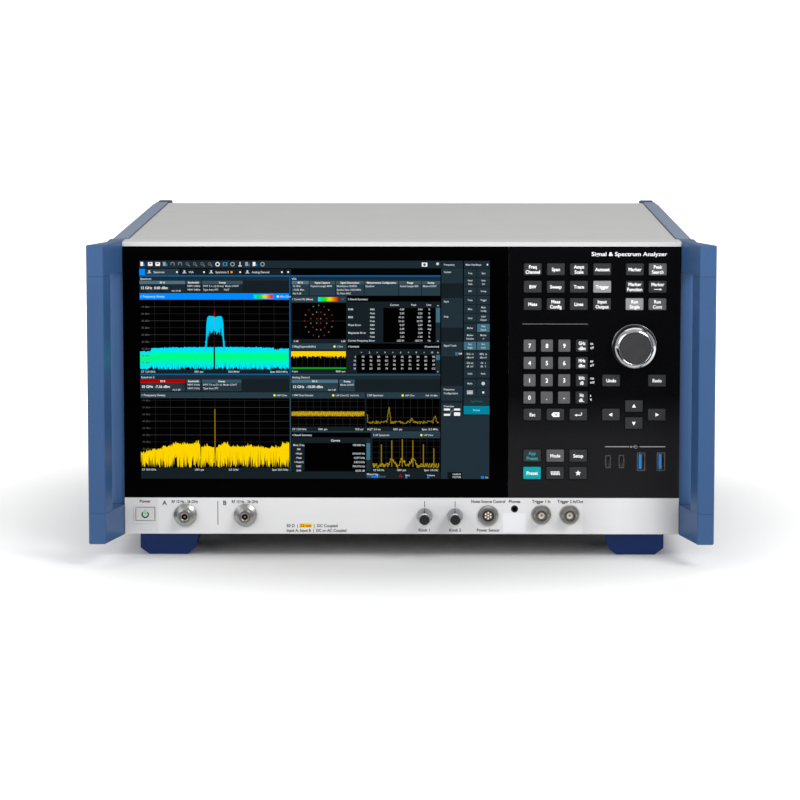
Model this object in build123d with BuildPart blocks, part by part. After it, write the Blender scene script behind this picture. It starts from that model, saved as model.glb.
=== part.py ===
from build123d import *
import os
from math import cos, radians, sin

os.makedirs("parts", exist_ok=True)

# ---------------------------------------------------------------------------
# Frame: X to the right, Y to the back, Z up, origin under the centre of the
# case at the height of the feet's undersides. All sizes are in millimetres.
# ---------------------------------------------------------------------------
WIDTH = 462.1  # across the handles
DEPTH = 504.7  # handle fronts to bumper backs
HEIGHT = 240.1  # foot undersides to rail tops

FRONT_Y = -DEPTH / 2
BACK_Y = DEPTH / 2
HANDLE_REACH = 45.0  # handle fronts stand this far in front of the panel
PANEL_Y = FRONT_Y + HANDLE_REACH
FOOT_HEIGHT = 19.0
PANEL_HEIGHT = 220.2
PANEL_HALF = 208.2  # half the width of the front panel
COVER_TOP = FOOT_HEIGHT + PANEL_HEIGHT
SHEET = 2.0  # cover and panel sheet
GAP = 0.2  # joint between neighbouring casing parts

FRAME_DEPTH = 26.0
FRAME_WALL = 5.0
TRIM_HEIGHT = 3.4  # the part of the frame seen above the black panels
STRIP_HEIGHT = 27.5  # connector plate
FACE_SHEET = 3.0  # thickness of glass, fascia and connector plate
GLASS_BOTTOM = FOOT_HEIGHT + STRIP_HEIGHT + GAP
GLASS_TOP = COVER_TOP - TRIM_HEIGHT - GAP
SEAM_X = 79.8  # glass on the left of it, keypad fascia on the right
INNER_FACE = PANEL_Y + FACE_SHEET

COVER_HALF = 205.9
RAIL_INNER = 206.2
RAIL_OUTER = 217.4
RAIL_TALL = 23.0
RAIL_TOP = HEIGHT
RAIL_BOTTOM = 18.2
RAIL_START = PANEL_Y + 17.3  # the handles' end blocks fill the stretch in front
CASE_BACK = PANEL_Y + 434.0  # outer face of the rear panel
RAIL_NECK = 28.0  # the rails are a little slimmer over this last stretch
NECK_STEP = 1.4

HANDLE_FACE = 12.6  # width of a handle's front face
BLOCK_OUTER = 219.3
GRIP_DEPTH = 20.0
POST_DEPTH = 14.0

KEY_PROUD = 1.3
KEY_CLEARANCE = 0.3
KEY_TRAVEL = 1.2
MAT_THICKNESS = 2.0  # silicone strip that carries a group of keys
KEY_EDGE = 0.5  # rounding of the key caps

SHAFT_CLEARANCE = 0.05

# Heights below are measured up from the panel's lower edge.
WIDE_KEY = (13.2, 8.8)
DIGIT_KEY = (9.0, 9.1)
SYSTEM_KEY = (13.2, 9.2)
FUNCTION_X = (97.65, 114.85, 132.05, 149.4)
MARKER_X = (173.6, 190.65)
FUNCTION_H = (199.8, 186.8, 173.8)
DIGIT_X = (95.6, 108.5, 121.5)
UNIT_X = 134.6
DIGIT_H = (142.6, 129.6, 116.6, 103.6)
EDIT_X = (97.8, 115.05, 132.2)
EDIT_H = 90.8
ARROW_X = (156.6, 173.75, 190.85)
ARROW_UP_H = 97.2
ARROW_DOWN_H = 84.4
UNDO_H = 116.5
SYSTEM_X = (97.8, 115.1, 132.3)
SYSTEM_H = (59.7, 46.6)

DIAL_X = 173.75
DIAL_H = 142.0
DIAL_RADIUS = 15.55
DIAL_SKIRT_RADIUS = 16.8
DIAL_FACE_RADIUS = 11.9
DIAL_PROUD = 14.0

SMALL_DIAL_X = (17.2, 40.15)
SMALL_DIAL_H = 13.8
SMALL_DIAL_PROUD = 20.0

POWER_KEY_X = -192.8
POWER_KEY_H = 15.0
POWER_KEY_SIZE = (14.0, 9.8)
RF_X = (-162.6, -117.4)
RF_H = 14.4
SENSOR_X = 65.0
SENSOR_H = 14.3
PHONES_X = 84.8
PHONES_H = 19.2
PHONES_BORE_RADIUS = 1.75
BNC_X = (104.9, 126.1)
BNC_H = 15.0
BNC_BARREL_RADIUS = 4.8
USB_C_X = (154.7, 164.8)
USB_A_X = (179.5, 194.4)
USB_H = 55.2
USB_C_SIZE = (3.7, 9.6)
USB_A_SIZE = (5.5, 13.3)

FOOT_OUTER = 198.3
FOOT_INNER = 152.9
FOOT_SETBACK = 22.0
FOOT_LENGTH = 64.0
LEG_WIDTH = 26.0
LEG_LENGTH = 44.0
LEG_THICKNESS = 7.0
LEG_X = 177.0
LEG_HINGE_Y = PANEL_Y + FOOT_SETBACK + 12.0
LEG_HINGE_Z = 6.5
LEG_PIN_RADIUS = 1.5

FAN_X = (-140.0, -50.0)
FAN_Z = 150.0
FAN_SIZE = 80.0
FAN_DEPTH = 25.0
FAN_BORE_RADIUS = 38.0
FAN_HUB_RADIUS = 16.0
FAN_BLADES = 7
FAN_SHAFT_RADIUS = 1.5

TRAY_X = -150.0
TRAY_Z = 48.0
TRAY_WIDTH = 72.0
TRAY_TALL = 12.0
TRAY_LENGTH = 110.0

INLET_X = 160.0
INLET_Z = 46.0
INLET_OPENING = (26.0, 18.6)
INLET_DEPTH = 20.0
SWITCH_X = 118.0
SWITCH_TILT = 8.0
SWITCH_PIN_RADIUS = 1.2
SWITCH_DEPTH = 4.0  # the rocker's pivot lies this far inside the flange's face

SCREW_SHANK = 1.5
SCREW_HEAD = 2.8


# ---------------------------------------------------------------------------
# Helpers
# ---------------------------------------------------------------------------
def block(x, y, z, mode=Mode.ADD):
    """A block between pairs of X, Y and Z limits."""
    with Locations(((x[0] + x[1]) / 2, (y[0] + y[1]) / 2, (z[0] + z[1]) / 2)):
        Box(x[1] - x[0], y[1] - y[0], z[1] - z[0], mode=mode)


def around(centre, size):
    """The two limits of a stretch of a given size around a centre."""
    return (centre - size / 2, centre + size / 2)


def window(centre, size, y, clearance=0.0):
    """A rectangular opening through the stretch y, around an X, Z centre."""
    x = around(centre[0], size[0] + 2 * clearance)
    z = around(centre[1], size[1] + 2 * clearance)
    block(x, y, z, Mode.SUBTRACT)


def rod(x, z, radius, y, mode=Mode.ADD):
    """A round rod or bore that runs front to back between two Y limits."""
    with Locations(Location((x, (y[0] + y[1]) / 2, z), (90, 0, 0))):
        Cylinder(radius, y[1] - y[0], mode=mode)


def cross_rod(x, y, z, radius, mode=Mode.ADD):
    """A round rod or bore that runs left to right between two X limits."""
    with Locations(Location(((x[0] + x[1]) / 2, y, z), (0, 90, 0))):
        Cylinder(radius, x[1] - x[0], mode=mode)


def turned(x, z, profile, mode=Mode.ADD):
    """A solid turned about the front-to-back line at x, z from (radius, y) points."""
    with BuildSketch(Plane.XY.offset(z)) as section:
        with BuildLine():
            Polyline(*[(x + radius, y) for radius, y in profile], close=True)
        make_face()
    revolve(section.sketch, axis=Axis((x, 0, z), (0, 1, 0)), mode=mode)


def prism(points, z, mode=Mode.ADD):
    """A plan outline of (x, y) points raised between two heights."""
    with BuildSketch(Plane.XY.offset(z[0])) as outline:
        with BuildLine():
            Polyline(*points, close=True)
        make_face()
    extrude(outline.sketch, amount=z[1] - z[0], mode=mode)


def bar(points, y, mode=Mode.ADD):
    """A front outline of (x, z) points drawn back between two Y limits."""
    with BuildSketch(Plane.XZ.offset(-y[0])) as outline:
        with BuildLine():
            Polyline(*points, close=True)
        make_face()
    extrude(outline.sketch, amount=y[0] - y[1], mode=mode)


def save(piece, label):
    """Label a finished piece and write it."""
    piece.part.label = label
    export_step(piece.part, f"parts/{label}.step")


def panel_z(height):
    """Height over the ground of a place on the front panel."""
    return FOOT_HEIGHT + height


# ---------------------------------------------------------------------------
# Keys: groups of caps on a silicone strip
# ---------------------------------------------------------------------------
KEY_GROUPS = {}
for number, height in enumerate(FUNCTION_H, start=1):
    KEY_GROUPS[f"function_keys_row_{number}"] = (WIDE_KEY, [(x, height) for x in FUNCTION_X])
    KEY_GROUPS[f"marker_keys_row_{number}"] = (WIDE_KEY, [(x, height) for x in MARKER_X])
for number, height in enumerate(DIGIT_H, start=1):
    KEY_GROUPS[f"digit_keys_row_{number}"] = (DIGIT_KEY, [(x, height) for x in DIGIT_X])
KEY_GROUPS["unit_keys"] = (DIGIT_KEY, [(UNIT_X, height) for height in DIGIT_H])
KEY_GROUPS["edit_keys"] = (WIDE_KEY, [(x, EDIT_H) for x in EDIT_X])
KEY_GROUPS["undo_key"] = (WIDE_KEY, [(ARROW_X[0], UNDO_H)])
KEY_GROUPS["redo_key"] = (WIDE_KEY, [(ARROW_X[2], UNDO_H)])
KEY_GROUPS["arrow_key_left"] = (WIDE_KEY, [(ARROW_X[0], EDIT_H)])
KEY_GROUPS["arrow_key_right"] = (WIDE_KEY, [(ARROW_X[2], EDIT_H)])
KEY_GROUPS["arrow_key_up"] = (WIDE_KEY, [(ARROW_X[1], ARROW_UP_H)])
KEY_GROUPS["arrow_key_down"] = (WIDE_KEY, [(ARROW_X[1], ARROW_DOWN_H)])
for number, height in enumerate(SYSTEM_H, start=1):
    KEY_GROUPS[f"system_keys_row_{number}"] = (SYSTEM_KEY, [(x, height) for x in SYSTEM_X])

MAT_FRONT = INNER_FACE + 0.4  # the strips hang just behind the fascia
STRIP_MARGIN = 0.6  # the strip is this much smaller than the caps all round
for label, (size, centres) in KEY_GROUPS.items():
    with BuildPart() as key_group:
        for x, height in centres:
            block(
                around(x, size[0]),
                (PANEL_Y - KEY_PROUD, MAT_FRONT + MAT_THICKNESS),
                around(panel_z(height), size[1]),
            )
        fillet(key_group.faces().group_by(Axis.Y)[0].edges(), radius=KEY_EDGE)
        columns = [x for x, height in centres]
        rows = [panel_z(height) for x, height in centres]
        block(
            (min(columns) - size[0] / 2 + STRIP_MARGIN, max(columns) + size[0] / 2 - STRIP_MARGIN),
            (MAT_FRONT, MAT_FRONT + MAT_THICKNESS),
            (min(rows) - size[1] / 2 + STRIP_MARGIN, max(rows) + size[1] / 2 - STRIP_MARGIN),
        )
    save(key_group, label)

POWER_PROUD = 0.8
POWER_KEY_DEPTH = 8.0
with BuildPart() as power_key:
    block(
        around(POWER_KEY_X, POWER_KEY_SIZE[0]),
        (PANEL_Y - POWER_PROUD, PANEL_Y + POWER_KEY_DEPTH),
        around(panel_z(POWER_KEY_H), POWER_KEY_SIZE[1]),
    )
    fillet(power_key.faces().sort_by(Axis.Y)[0].edges(), radius=KEY_EDGE)
save(power_key, "power_key")


# ---------------------------------------------------------------------------
# Front: glass, fascia, connector plate, frame
# ---------------------------------------------------------------------------
FACE = (PANEL_Y, INNER_FACE)
FACE_EDGE = 0.3
with BuildPart() as display_glass:
    block((-PANEL_HALF, SEAM_X - GAP / 2), FACE, (GLASS_BOTTOM, GLASS_TOP))
    chamfer(display_glass.faces().sort_by(Axis.Y)[0].edges(), length=FACE_EDGE)
save(display_glass, "display_glass")

SHAFT_HOLE = 4.2
USB_CLEARANCE = 0.1
with BuildPart() as keypad_fascia:
    block((SEAM_X + GAP / 2, PANEL_HALF), FACE, (GLASS_BOTTOM, GLASS_TOP))
    chamfer(keypad_fascia.faces().sort_by(Axis.Y)[0].edges(), length=FACE_EDGE)
    for size, centres in KEY_GROUPS.values():
        for x, height in centres:
            window((x, panel_z(height)), size, FACE, KEY_CLEARANCE)
    for x in USB_C_X:
        window((x, panel_z(USB_H)), USB_C_SIZE, FACE, USB_CLEARANCE)
    for x in USB_A_X:
        window((x, panel_z(USB_H)), USB_A_SIZE, FACE, USB_CLEARANCE)
    rod(DIAL_X, panel_z(DIAL_H), SHAFT_HOLE, FACE, Mode.SUBTRACT)
save(keypad_fascia, "keypad_fascia")

RF_BODY_RADIUS = 5.6
SENSOR_BODY_RADIUS = 5.8
PHONES_BODY_RADIUS = 2.7
BNC_BODY_RADIUS = 4.7
SMALL_SHAFT_RADIUS = 1.5
with BuildPart() as connector_plate:
    block((-PANEL_HALF, PANEL_HALF), FACE, (FOOT_HEIGHT, FOOT_HEIGHT + STRIP_HEIGHT))
    chamfer(connector_plate.faces().sort_by(Axis.Y)[0].edges(), length=FACE_EDGE)
    window((POWER_KEY_X, panel_z(POWER_KEY_H)), POWER_KEY_SIZE, FACE, KEY_CLEARANCE)
    for x in RF_X:
        rod(x, panel_z(RF_H), RF_BODY_RADIUS, FACE, Mode.SUBTRACT)
    for x in BNC_X:
        rod(x, panel_z(BNC_H), BNC_BODY_RADIUS, FACE, Mode.SUBTRACT)
    for x in SMALL_DIAL_X:
        rod(x, panel_z(SMALL_DIAL_H), SMALL_SHAFT_RADIUS + SHAFT_CLEARANCE, FACE, Mode.SUBTRACT)
    rod(SENSOR_X, panel_z(SENSOR_H), SENSOR_BODY_RADIUS, FACE, Mode.SUBTRACT)
    rod(PHONES_X, panel_z(PHONES_H), PHONES_BODY_RADIUS, FACE, Mode.SUBTRACT)
save(connector_plate, "connector_plate")

RIB = 6.0
TRIM_EDGE = 0.8
with BuildPart() as front_frame:
    block(
        (-PANEL_HALF, PANEL_HALF),
        (INNER_FACE, PANEL_Y + FRAME_DEPTH),
        (FOOT_HEIGHT, COVER_TOP),
    )
    block(
        (-PANEL_HALF + FRAME_WALL, PANEL_HALF - FRAME_WALL),
        (INNER_FACE, PANEL_Y + FRAME_DEPTH),
        (FOOT_HEIGHT + FRAME_WALL, COVER_TOP - FRAME_WALL),
        Mode.SUBTRACT,
    )
    # Upright behind the seam between glass and keypad, and the rail above the connectors.
    block(
        (SEAM_X - RIB / 2, SEAM_X + RIB / 2),
        (INNER_FACE, INNER_FACE + RIB),
        (FOOT_HEIGHT + STRIP_HEIGHT, COVER_TOP - FRAME_WALL),
    )
    block(
        (-PANEL_HALF + FRAME_WALL, PANEL_HALF - FRAME_WALL),
        (INNER_FACE, INNER_FACE + RIB),
        around(FOOT_HEIGHT + STRIP_HEIGHT + GAP / 2, RIB),
    )
    # Light trim that shows above the black panels.
    block((-PANEL_HALF, PANEL_HALF), FACE, (COVER_TOP - TRIM_HEIGHT, COVER_TOP))
    fillet(front_frame.edges().filter_by(Axis.X).group_by(Axis.Z)[-1].sort_by(Axis.Y)[0], radius=TRIM_EDGE)
save(front_frame, "front_frame")

DISPLAY_X = (-195.6, 65.8)
DISPLAY_H = (41.9, 206.1)
LCD_BORDER = 4.0
LCD_DEPTH = 9.0
LCD_CORNER = 1.5
LCD_GAP = 0.1
with BuildPart() as lcd_module:
    block(
        (DISPLAY_X[0] - LCD_BORDER, DISPLAY_X[1] + LCD_BORDER),
        (INNER_FACE + LCD_GAP, INNER_FACE + LCD_DEPTH),
        (panel_z(DISPLAY_H[0] - LCD_BORDER), panel_z(DISPLAY_H[1] + LCD_BORDER)),
    )
    chamfer(lcd_module.edges().filter_by(Axis.Y), length=LCD_CORNER)
save(lcd_module, "lcd_module")

BOARD_SHEET = 1.6
KEY_BOARD_SPARE = 0.6  # room left behind a fully pressed key
KEY_BOARD_Y = MAT_FRONT + MAT_THICKNESS + KEY_TRAVEL + KEY_BOARD_SPARE
KEY_BOARD_CLEARANCE = 0.5
KEY_BOARD_SIDE_GAP = 1.0
with BuildPart() as key_board:
    block(
        (SEAM_X + RIB, PANEL_HALF - FRAME_WALL - KEY_BOARD_SIDE_GAP),
        (KEY_BOARD_Y, KEY_BOARD_Y + BOARD_SHEET),
        (panel_z(STRIP_HEIGHT + RIB), panel_z(PANEL_HEIGHT - 2 * FRAME_WALL)),
    )
    rod(DIAL_X, panel_z(DIAL_H), SHAFT_HOLE, (KEY_BOARD_Y, KEY_BOARD_Y + BOARD_SHEET), Mode.SUBTRACT)
    for x in USB_C_X:
        window((x, panel_z(USB_H)), USB_C_SIZE, (KEY_BOARD_Y, KEY_BOARD_Y + BOARD_SHEET), KEY_BOARD_CLEARANCE)
    for x in USB_A_X:
        window((x, panel_z(USB_H)), USB_A_SIZE, (KEY_BOARD_Y, KEY_BOARD_Y + BOARD_SHEET), KEY_BOARD_CLEARANCE)
save(key_board, "key_board")


# ---------------------------------------------------------------------------
# Dials
# ---------------------------------------------------------------------------
DIAL_LIFT = 0.4
DIAL_FACE_RECESS = 0.5
DIAL_FACE_STEP = 0.6
DIAL_BEVEL = 2.6
DIAL_SKIRT = 2.0  # the skirt reaches this far in front of the panel
DIAL_SHAFT_RADIUS = 3.0
DIAL_SHAFT_TAIL = 6.0
with BuildPart() as main_dial:
    turned(
        DIAL_X,
        panel_z(DIAL_H),
        [
            (0, PANEL_Y - DIAL_PROUD + DIAL_FACE_RECESS),
            (DIAL_FACE_RADIUS - DIAL_FACE_STEP, PANEL_Y - DIAL_PROUD + DIAL_FACE_RECESS),
            (DIAL_FACE_RADIUS, PANEL_Y - DIAL_PROUD),
            (DIAL_RADIUS, PANEL_Y - DIAL_PROUD + DIAL_BEVEL),
            (DIAL_RADIUS, PANEL_Y - DIAL_BEVEL),
            (DIAL_SKIRT_RADIUS, PANEL_Y - DIAL_SKIRT),
            (DIAL_SKIRT_RADIUS, PANEL_Y - DIAL_LIFT),
            (DIAL_SHAFT_RADIUS, PANEL_Y - DIAL_LIFT),
            (DIAL_SHAFT_RADIUS, KEY_BOARD_Y + DIAL_SHAFT_TAIL),
            (0, KEY_BOARD_Y + DIAL_SHAFT_TAIL),
        ],
    )
save(main_dial, "main_dial")

SMALL_BASE_RADIUS = 5.95
SMALL_FRONT_RADIUS = 4.9
SMALL_EDGE = (0.7, 0.9)  # inward and backward
SMALL_BASE = 3.0  # straight stretch next to the panel
SMALL_SHAFT_TAIL = 9.0
for number, x in enumerate(SMALL_DIAL_X, start=1):
    with BuildPart() as small_dial:
        turned(
            x,
            panel_z(SMALL_DIAL_H),
            [
                (0, PANEL_Y - SMALL_DIAL_PROUD),
                (SMALL_FRONT_RADIUS - SMALL_EDGE[0], PANEL_Y - SMALL_DIAL_PROUD),
                (SMALL_FRONT_RADIUS, PANEL_Y - SMALL_DIAL_PROUD + SMALL_EDGE[1]),
                (SMALL_BASE_RADIUS, PANEL_Y - DIAL_LIFT - SMALL_BASE),
                (SMALL_BASE_RADIUS, PANEL_Y - DIAL_LIFT),
                (SMALL_SHAFT_RADIUS, PANEL_Y - DIAL_LIFT),
                (SMALL_SHAFT_RADIUS, INNER_FACE + SMALL_SHAFT_TAIL),
                (0, INNER_FACE + SMALL_SHAFT_TAIL),
            ],
        )
    save(small_dial, f"small_dial_{number}")


# ---------------------------------------------------------------------------
# Front connectors
# ---------------------------------------------------------------------------
RF_FLANGE_RADIUS = 8.65
RF_BARREL_RADIUS = 4.6
RF_BARREL_PROUD = 11.0
RF_BORE_RADIUS = 3.2
RF_BORE_FLOOR = 3.0
RF_PIN_RADIUS = 0.65
RF_PIN_SETBACK = 2.0
# The flange is domed: heights of its edge, its top and the barrel's foot over the panel.
RF_DOME_EDGE = 2.4
RF_DOME_TOP = 4.0
RF_DOME_FOOT = 4.4
SOCKET_TAIL = 14.0  # the sockets reach this far behind the face sheets
RF_TAIL = 18.0
with BuildPart() as rf_inputs:
    for x in RF_X:
        turned(
            x,
            panel_z(RF_H),
            [
                (RF_BORE_RADIUS, PANEL_Y - RF_BARREL_PROUD),
                (RF_BARREL_RADIUS, PANEL_Y - RF_BARREL_PROUD),
                (RF_BARREL_RADIUS, PANEL_Y - RF_DOME_FOOT),
                (RF_FLANGE_RADIUS - RF_DOME_EDGE, PANEL_Y - RF_DOME_TOP),
                (RF_FLANGE_RADIUS, PANEL_Y - RF_DOME_EDGE),
                (RF_FLANGE_RADIUS, PANEL_Y),
                (RF_BODY_RADIUS, PANEL_Y),
                (RF_BODY_RADIUS, INNER_FACE + RF_TAIL),
                (0, INNER_FACE + RF_TAIL),
                (0, PANEL_Y - RF_BARREL_PROUD + RF_PIN_SETBACK),
                (RF_PIN_RADIUS, PANEL_Y - RF_BARREL_PROUD + RF_PIN_SETBACK),
                (RF_PIN_RADIUS, PANEL_Y - RF_BORE_FLOOR),
                (RF_BORE_RADIUS, PANEL_Y - RF_BORE_FLOOR),
            ],
        )
save(rf_inputs, "rf_inputs")

SENSOR_FLANGE_RADIUS = 7.8
SENSOR_WELL_RADIUS = 4.3
SENSOR_PROUD = 3.4
SENSOR_BEVEL = 1.8
SENSOR_FLOOR = 1.0
with BuildPart() as sensor_socket:
    turned(
        SENSOR_X,
        panel_z(SENSOR_H),
        [
            (SENSOR_WELL_RADIUS, PANEL_Y - SENSOR_PROUD),
            (SENSOR_FLANGE_RADIUS - SENSOR_BEVEL, PANEL_Y - SENSOR_PROUD),
            (SENSOR_FLANGE_RADIUS, PANEL_Y - SENSOR_PROUD + SENSOR_BEVEL),
            (SENSOR_FLANGE_RADIUS, PANEL_Y),
            (SENSOR_BODY_RADIUS, PANEL_Y),
            (SENSOR_BODY_RADIUS, INNER_FACE + SOCKET_TAIL),
            (0, INNER_FACE + SOCKET_TAIL),
            (0, PANEL_Y + SENSOR_FLOOR),
            (SENSOR_WELL_RADIUS, PANEL_Y + SENSOR_FLOOR),
        ],
    )
save(sensor_socket, "sensor_socket")

PHONES_BORE_LENGTH = 14.0
with BuildPart() as phones_socket:
    rod(PHONES_X, panel_z(PHONES_H), PHONES_BODY_RADIUS, (PANEL_Y, INNER_FACE + SOCKET_TAIL))
    rod(
        PHONES_X,
        panel_z(PHONES_H),
        PHONES_BORE_RADIUS,
        (PANEL_Y, PANEL_Y + PHONES_BORE_LENGTH),
        Mode.SUBTRACT,
    )
save(phones_socket, "phones_socket")

BNC_PROUD = 9.5
BNC_FLANGE_RADIUS = 7.5
BNC_FLANGE = 2.2
BNC_FLANGE_BEVEL = 0.8
BNC_BORE_RADIUS = 4.05
BNC_FLOOR = 1.0
BNC_POST_RADIUS = 2.3
BNC_POST_PROUD = 5.0
LUG_RADIUS = 0.95
LUG_REACH = 5.6
LUG_ROOT = 0.3  # the lugs start this deep in the barrel
LUG_PROUD = 6.6


def bnc_profile(face, outward, tail):
    """A bayonet socket's (radius, y) outline on a panel face, with its inner end at tail."""
    return [
        (BNC_BORE_RADIUS, face + outward * BNC_PROUD),
        (BNC_BARREL_RADIUS, face + outward * BNC_PROUD),
        (BNC_BARREL_RADIUS, face + outward * BNC_FLANGE),
        (BNC_FLANGE_RADIUS - BNC_FLANGE_BEVEL, face + outward * BNC_FLANGE),
        (BNC_FLANGE_RADIUS, face + outward * (BNC_FLANGE - BNC_FLANGE_BEVEL)),
        (BNC_FLANGE_RADIUS, face),
        (BNC_BODY_RADIUS, face),
        (BNC_BODY_RADIUS, tail),
        (0, tail),
        (0, face + outward * BNC_POST_PROUD),
        (BNC_POST_RADIUS, face + outward * BNC_POST_PROUD),
        (BNC_POST_RADIUS, face + outward * BNC_FLOOR),
        (BNC_BORE_RADIUS, face + outward * BNC_FLOOR),
    ]


with BuildPart() as bnc_sockets:
    for x in BNC_X:
        turned(x, panel_z(BNC_H), bnc_profile(PANEL_Y, -1, INNER_FACE + SOCKET_TAIL))
        for side in (-1, 1):
            limits = sorted((x + side * (BNC_BARREL_RADIUS - LUG_ROOT), x + side * LUG_REACH))
            cross_rod(limits, PANEL_Y - LUG_PROUD, panel_z(BNC_H), LUG_RADIUS)
save(bnc_sockets, "bnc_sockets")

SHELL = 0.4
USB_FRONT = PANEL_Y + 0.2
USB_BACK = PANEL_Y + 14.0
USB_FLOOR = USB_BACK - 2.0
USB_TONGUE_FRONT = PANEL_Y + 1.6
USB_C_TONGUE = (0.8, 6.4)
USB_A_TONGUE = (1.9, 11.0)
with BuildPart() as usb_sockets:
    for positions, size, tongue in ((USB_C_X, USB_C_SIZE, USB_C_TONGUE), (USB_A_X, USB_A_SIZE, USB_A_TONGUE)):
        for x in positions:
            z = panel_z(USB_H)
            block(around(x, size[0]), (USB_FRONT, USB_BACK), around(z, size[1]))
            window((x, z), (size[0] - 2 * SHELL, size[1] - 2 * SHELL), (PANEL_Y, USB_FLOOR))
            block(around(x, tongue[0]), (USB_TONGUE_FRONT, USB_FLOOR + SHELL), around(z, tongue[1]))
save(usb_sockets, "usb_sockets")


# ---------------------------------------------------------------------------
# Casing: covers, side panels, rails, rear panel
# ---------------------------------------------------------------------------
COVER_FRONT = PANEL_Y + FRAME_DEPTH + GAP
REAR_INNER = CASE_BACK - SHEET
COVER_Y = (COVER_FRONT, REAR_INNER - GAP)
LIP = 10.0
COVER_EDGE = 1.0
with BuildPart() as top_cover:
    block((-COVER_HALF, COVER_HALF), COVER_Y, (COVER_TOP - SHEET, COVER_TOP))
    for side in (-1, 1):
        edge = sorted((side * COVER_HALF, side * (COVER_HALF - SHEET)))
        block(edge, COVER_Y, (COVER_TOP - LIP, COVER_TOP - SHEET))
    fillet(top_cover.edges().filter_by(Axis.Y).group_by(Axis.Z)[-1], radius=COVER_EDGE)
save(top_cover, "top_cover")

with BuildPart() as bottom_cover:
    block((-COVER_HALF, COVER_HALF), COVER_Y, (FOOT_HEIGHT, FOOT_HEIGHT + SHEET))
    for side in (-1, 1):
        edge = sorted((side * COVER_HALF, side * (COVER_HALF - SHEET)))
        block(edge, COVER_Y, (FOOT_HEIGHT + SHEET, FOOT_HEIGHT + LIP))
save(bottom_cover, "bottom_cover")

SIDE_Z = (RAIL_BOTTOM + RAIL_TALL + GAP, RAIL_TOP - RAIL_TALL - GAP)
SIDE_INNER = RAIL_INNER + 5.5
SIDE_X = (SIDE_INNER, SIDE_INNER + SHEET)
SLOT_LENGTH = 26.0
SLOT_WIDTH = 3.0
SLOT_PITCH = 7.5
SLOTS_PER_ROW = 16
SLOT_ROWS = 3
SLOT_ROW_PITCH = 34.0
SLOT_FIELDS_Y = (-60.0, 100.0)  # centres of the front and back groups
for side, label in ((-1, "left_side_panel"), (1, "right_side_panel")):
    with BuildPart() as side_panel:
        block(sorted((side * SIDE_X[0], side * SIDE_X[1])), (RAIL_START, REAR_INNER), SIDE_Z)
        # Cooling slots, front and back groups.
        for field_y in SLOT_FIELDS_Y:
            field = Plane(
                origin=(side * SIDE_X[0], field_y, sum(SIDE_Z) / 2), x_dir=(0, 1, 0), z_dir=(side, 0, 0)
            )
            with BuildSketch(field) as slots:
                with GridLocations(SLOT_PITCH, SLOT_ROW_PITCH, SLOTS_PER_ROW, SLOT_ROWS):
                    SlotOverall(SLOT_LENGTH, SLOT_WIDTH, rotation=90)
            extrude(amount=SHEET, mode=Mode.SUBTRACT)
    save(side_panel, label)

NECK_START = CASE_BACK - RAIL_NECK
BUMPER_SCREW_X = 209.8
BUMPER_SCREW_HOLE = 2.6
BUMPER_SCREW_DEPTH = 16.0
RAIL_EDGE = 1.2
GROOVE_DEPTH = 1.2
GROOVE_TALL = 5.0
GROOVE_MARGIN = 12.0  # the groove stops this far from both ends
NECK_SLOPE = 1.0
with BuildPart() as side_rails:
    for z in ((RAIL_BOTTOM, RAIL_BOTTOM + RAIL_TALL), (RAIL_TOP - RAIL_TALL, RAIL_TOP)):
        prism(
            [
                (PANEL_HALF + GAP, RAIL_START + GAP),
                (RAIL_OUTER, RAIL_START + GAP),
                (RAIL_OUTER, NECK_START),
                (RAIL_OUTER - NECK_STEP, NECK_START + NECK_SLOPE),
                (RAIL_OUTER - NECK_STEP, CASE_BACK - GAP),
                (RAIL_INNER, CASE_BACK - GAP),
                (RAIL_INNER, COVER_FRONT),
                (PANEL_HALF + GAP, COVER_FRONT),
            ],
            z,
        )
    outer_edges = side_rails.edges().filter_by(Axis.Y).group_by(Axis.X)[-1]
    fillet(outer_edges, radius=RAIL_EDGE)
    for z in (RAIL_BOTTOM + RAIL_TALL / 2, RAIL_TOP - RAIL_TALL / 2):
        block(
            (RAIL_OUTER - GROOVE_DEPTH, RAIL_OUTER),
            (RAIL_START + GROOVE_MARGIN, NECK_START - GROOVE_MARGIN),
            around(z, GROOVE_TALL),
            Mode.SUBTRACT,
        )
        rod(BUMPER_SCREW_X, z, BUMPER_SCREW_HOLE, (CASE_BACK - BUMPER_SCREW_DEPTH, CASE_BACK), Mode.SUBTRACT)
    mirror(about=Plane.YZ)
save(side_rails, "side_rails")

BUMPER_X = (203.8, 216.0)
BUMPER_BORE = 4.4
BUMPER_BORE_DEPTH = 8.0
BUMPER_CORNER = 1.6
BUMPER_EDGE = 1.0
with BuildPart() as rear_bumpers:
    for z in ((RAIL_BOTTOM, RAIL_BOTTOM + RAIL_TALL), (RAIL_TOP - RAIL_TALL, RAIL_TOP)):
        block(BUMPER_X, (CASE_BACK + GAP, BACK_Y), z)
    fillet(rear_bumpers.edges().filter_by(Axis.Y), radius=BUMPER_CORNER)
    chamfer(rear_bumpers.faces().group_by(Axis.Y)[-1].edges(), length=BUMPER_EDGE)
    for z in (RAIL_BOTTOM + RAIL_TALL / 2, RAIL_TOP - RAIL_TALL / 2):
        rod(BUMPER_SCREW_X, z, BUMPER_SCREW_HOLE, (CASE_BACK, BACK_Y), Mode.SUBTRACT)
        rod(BUMPER_SCREW_X, z, BUMPER_BORE, (BACK_Y - BUMPER_BORE_DEPTH, BACK_Y), Mode.SUBTRACT)
    mirror(about=Plane.YZ)
save(rear_bumpers, "rear_bumpers")


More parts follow.
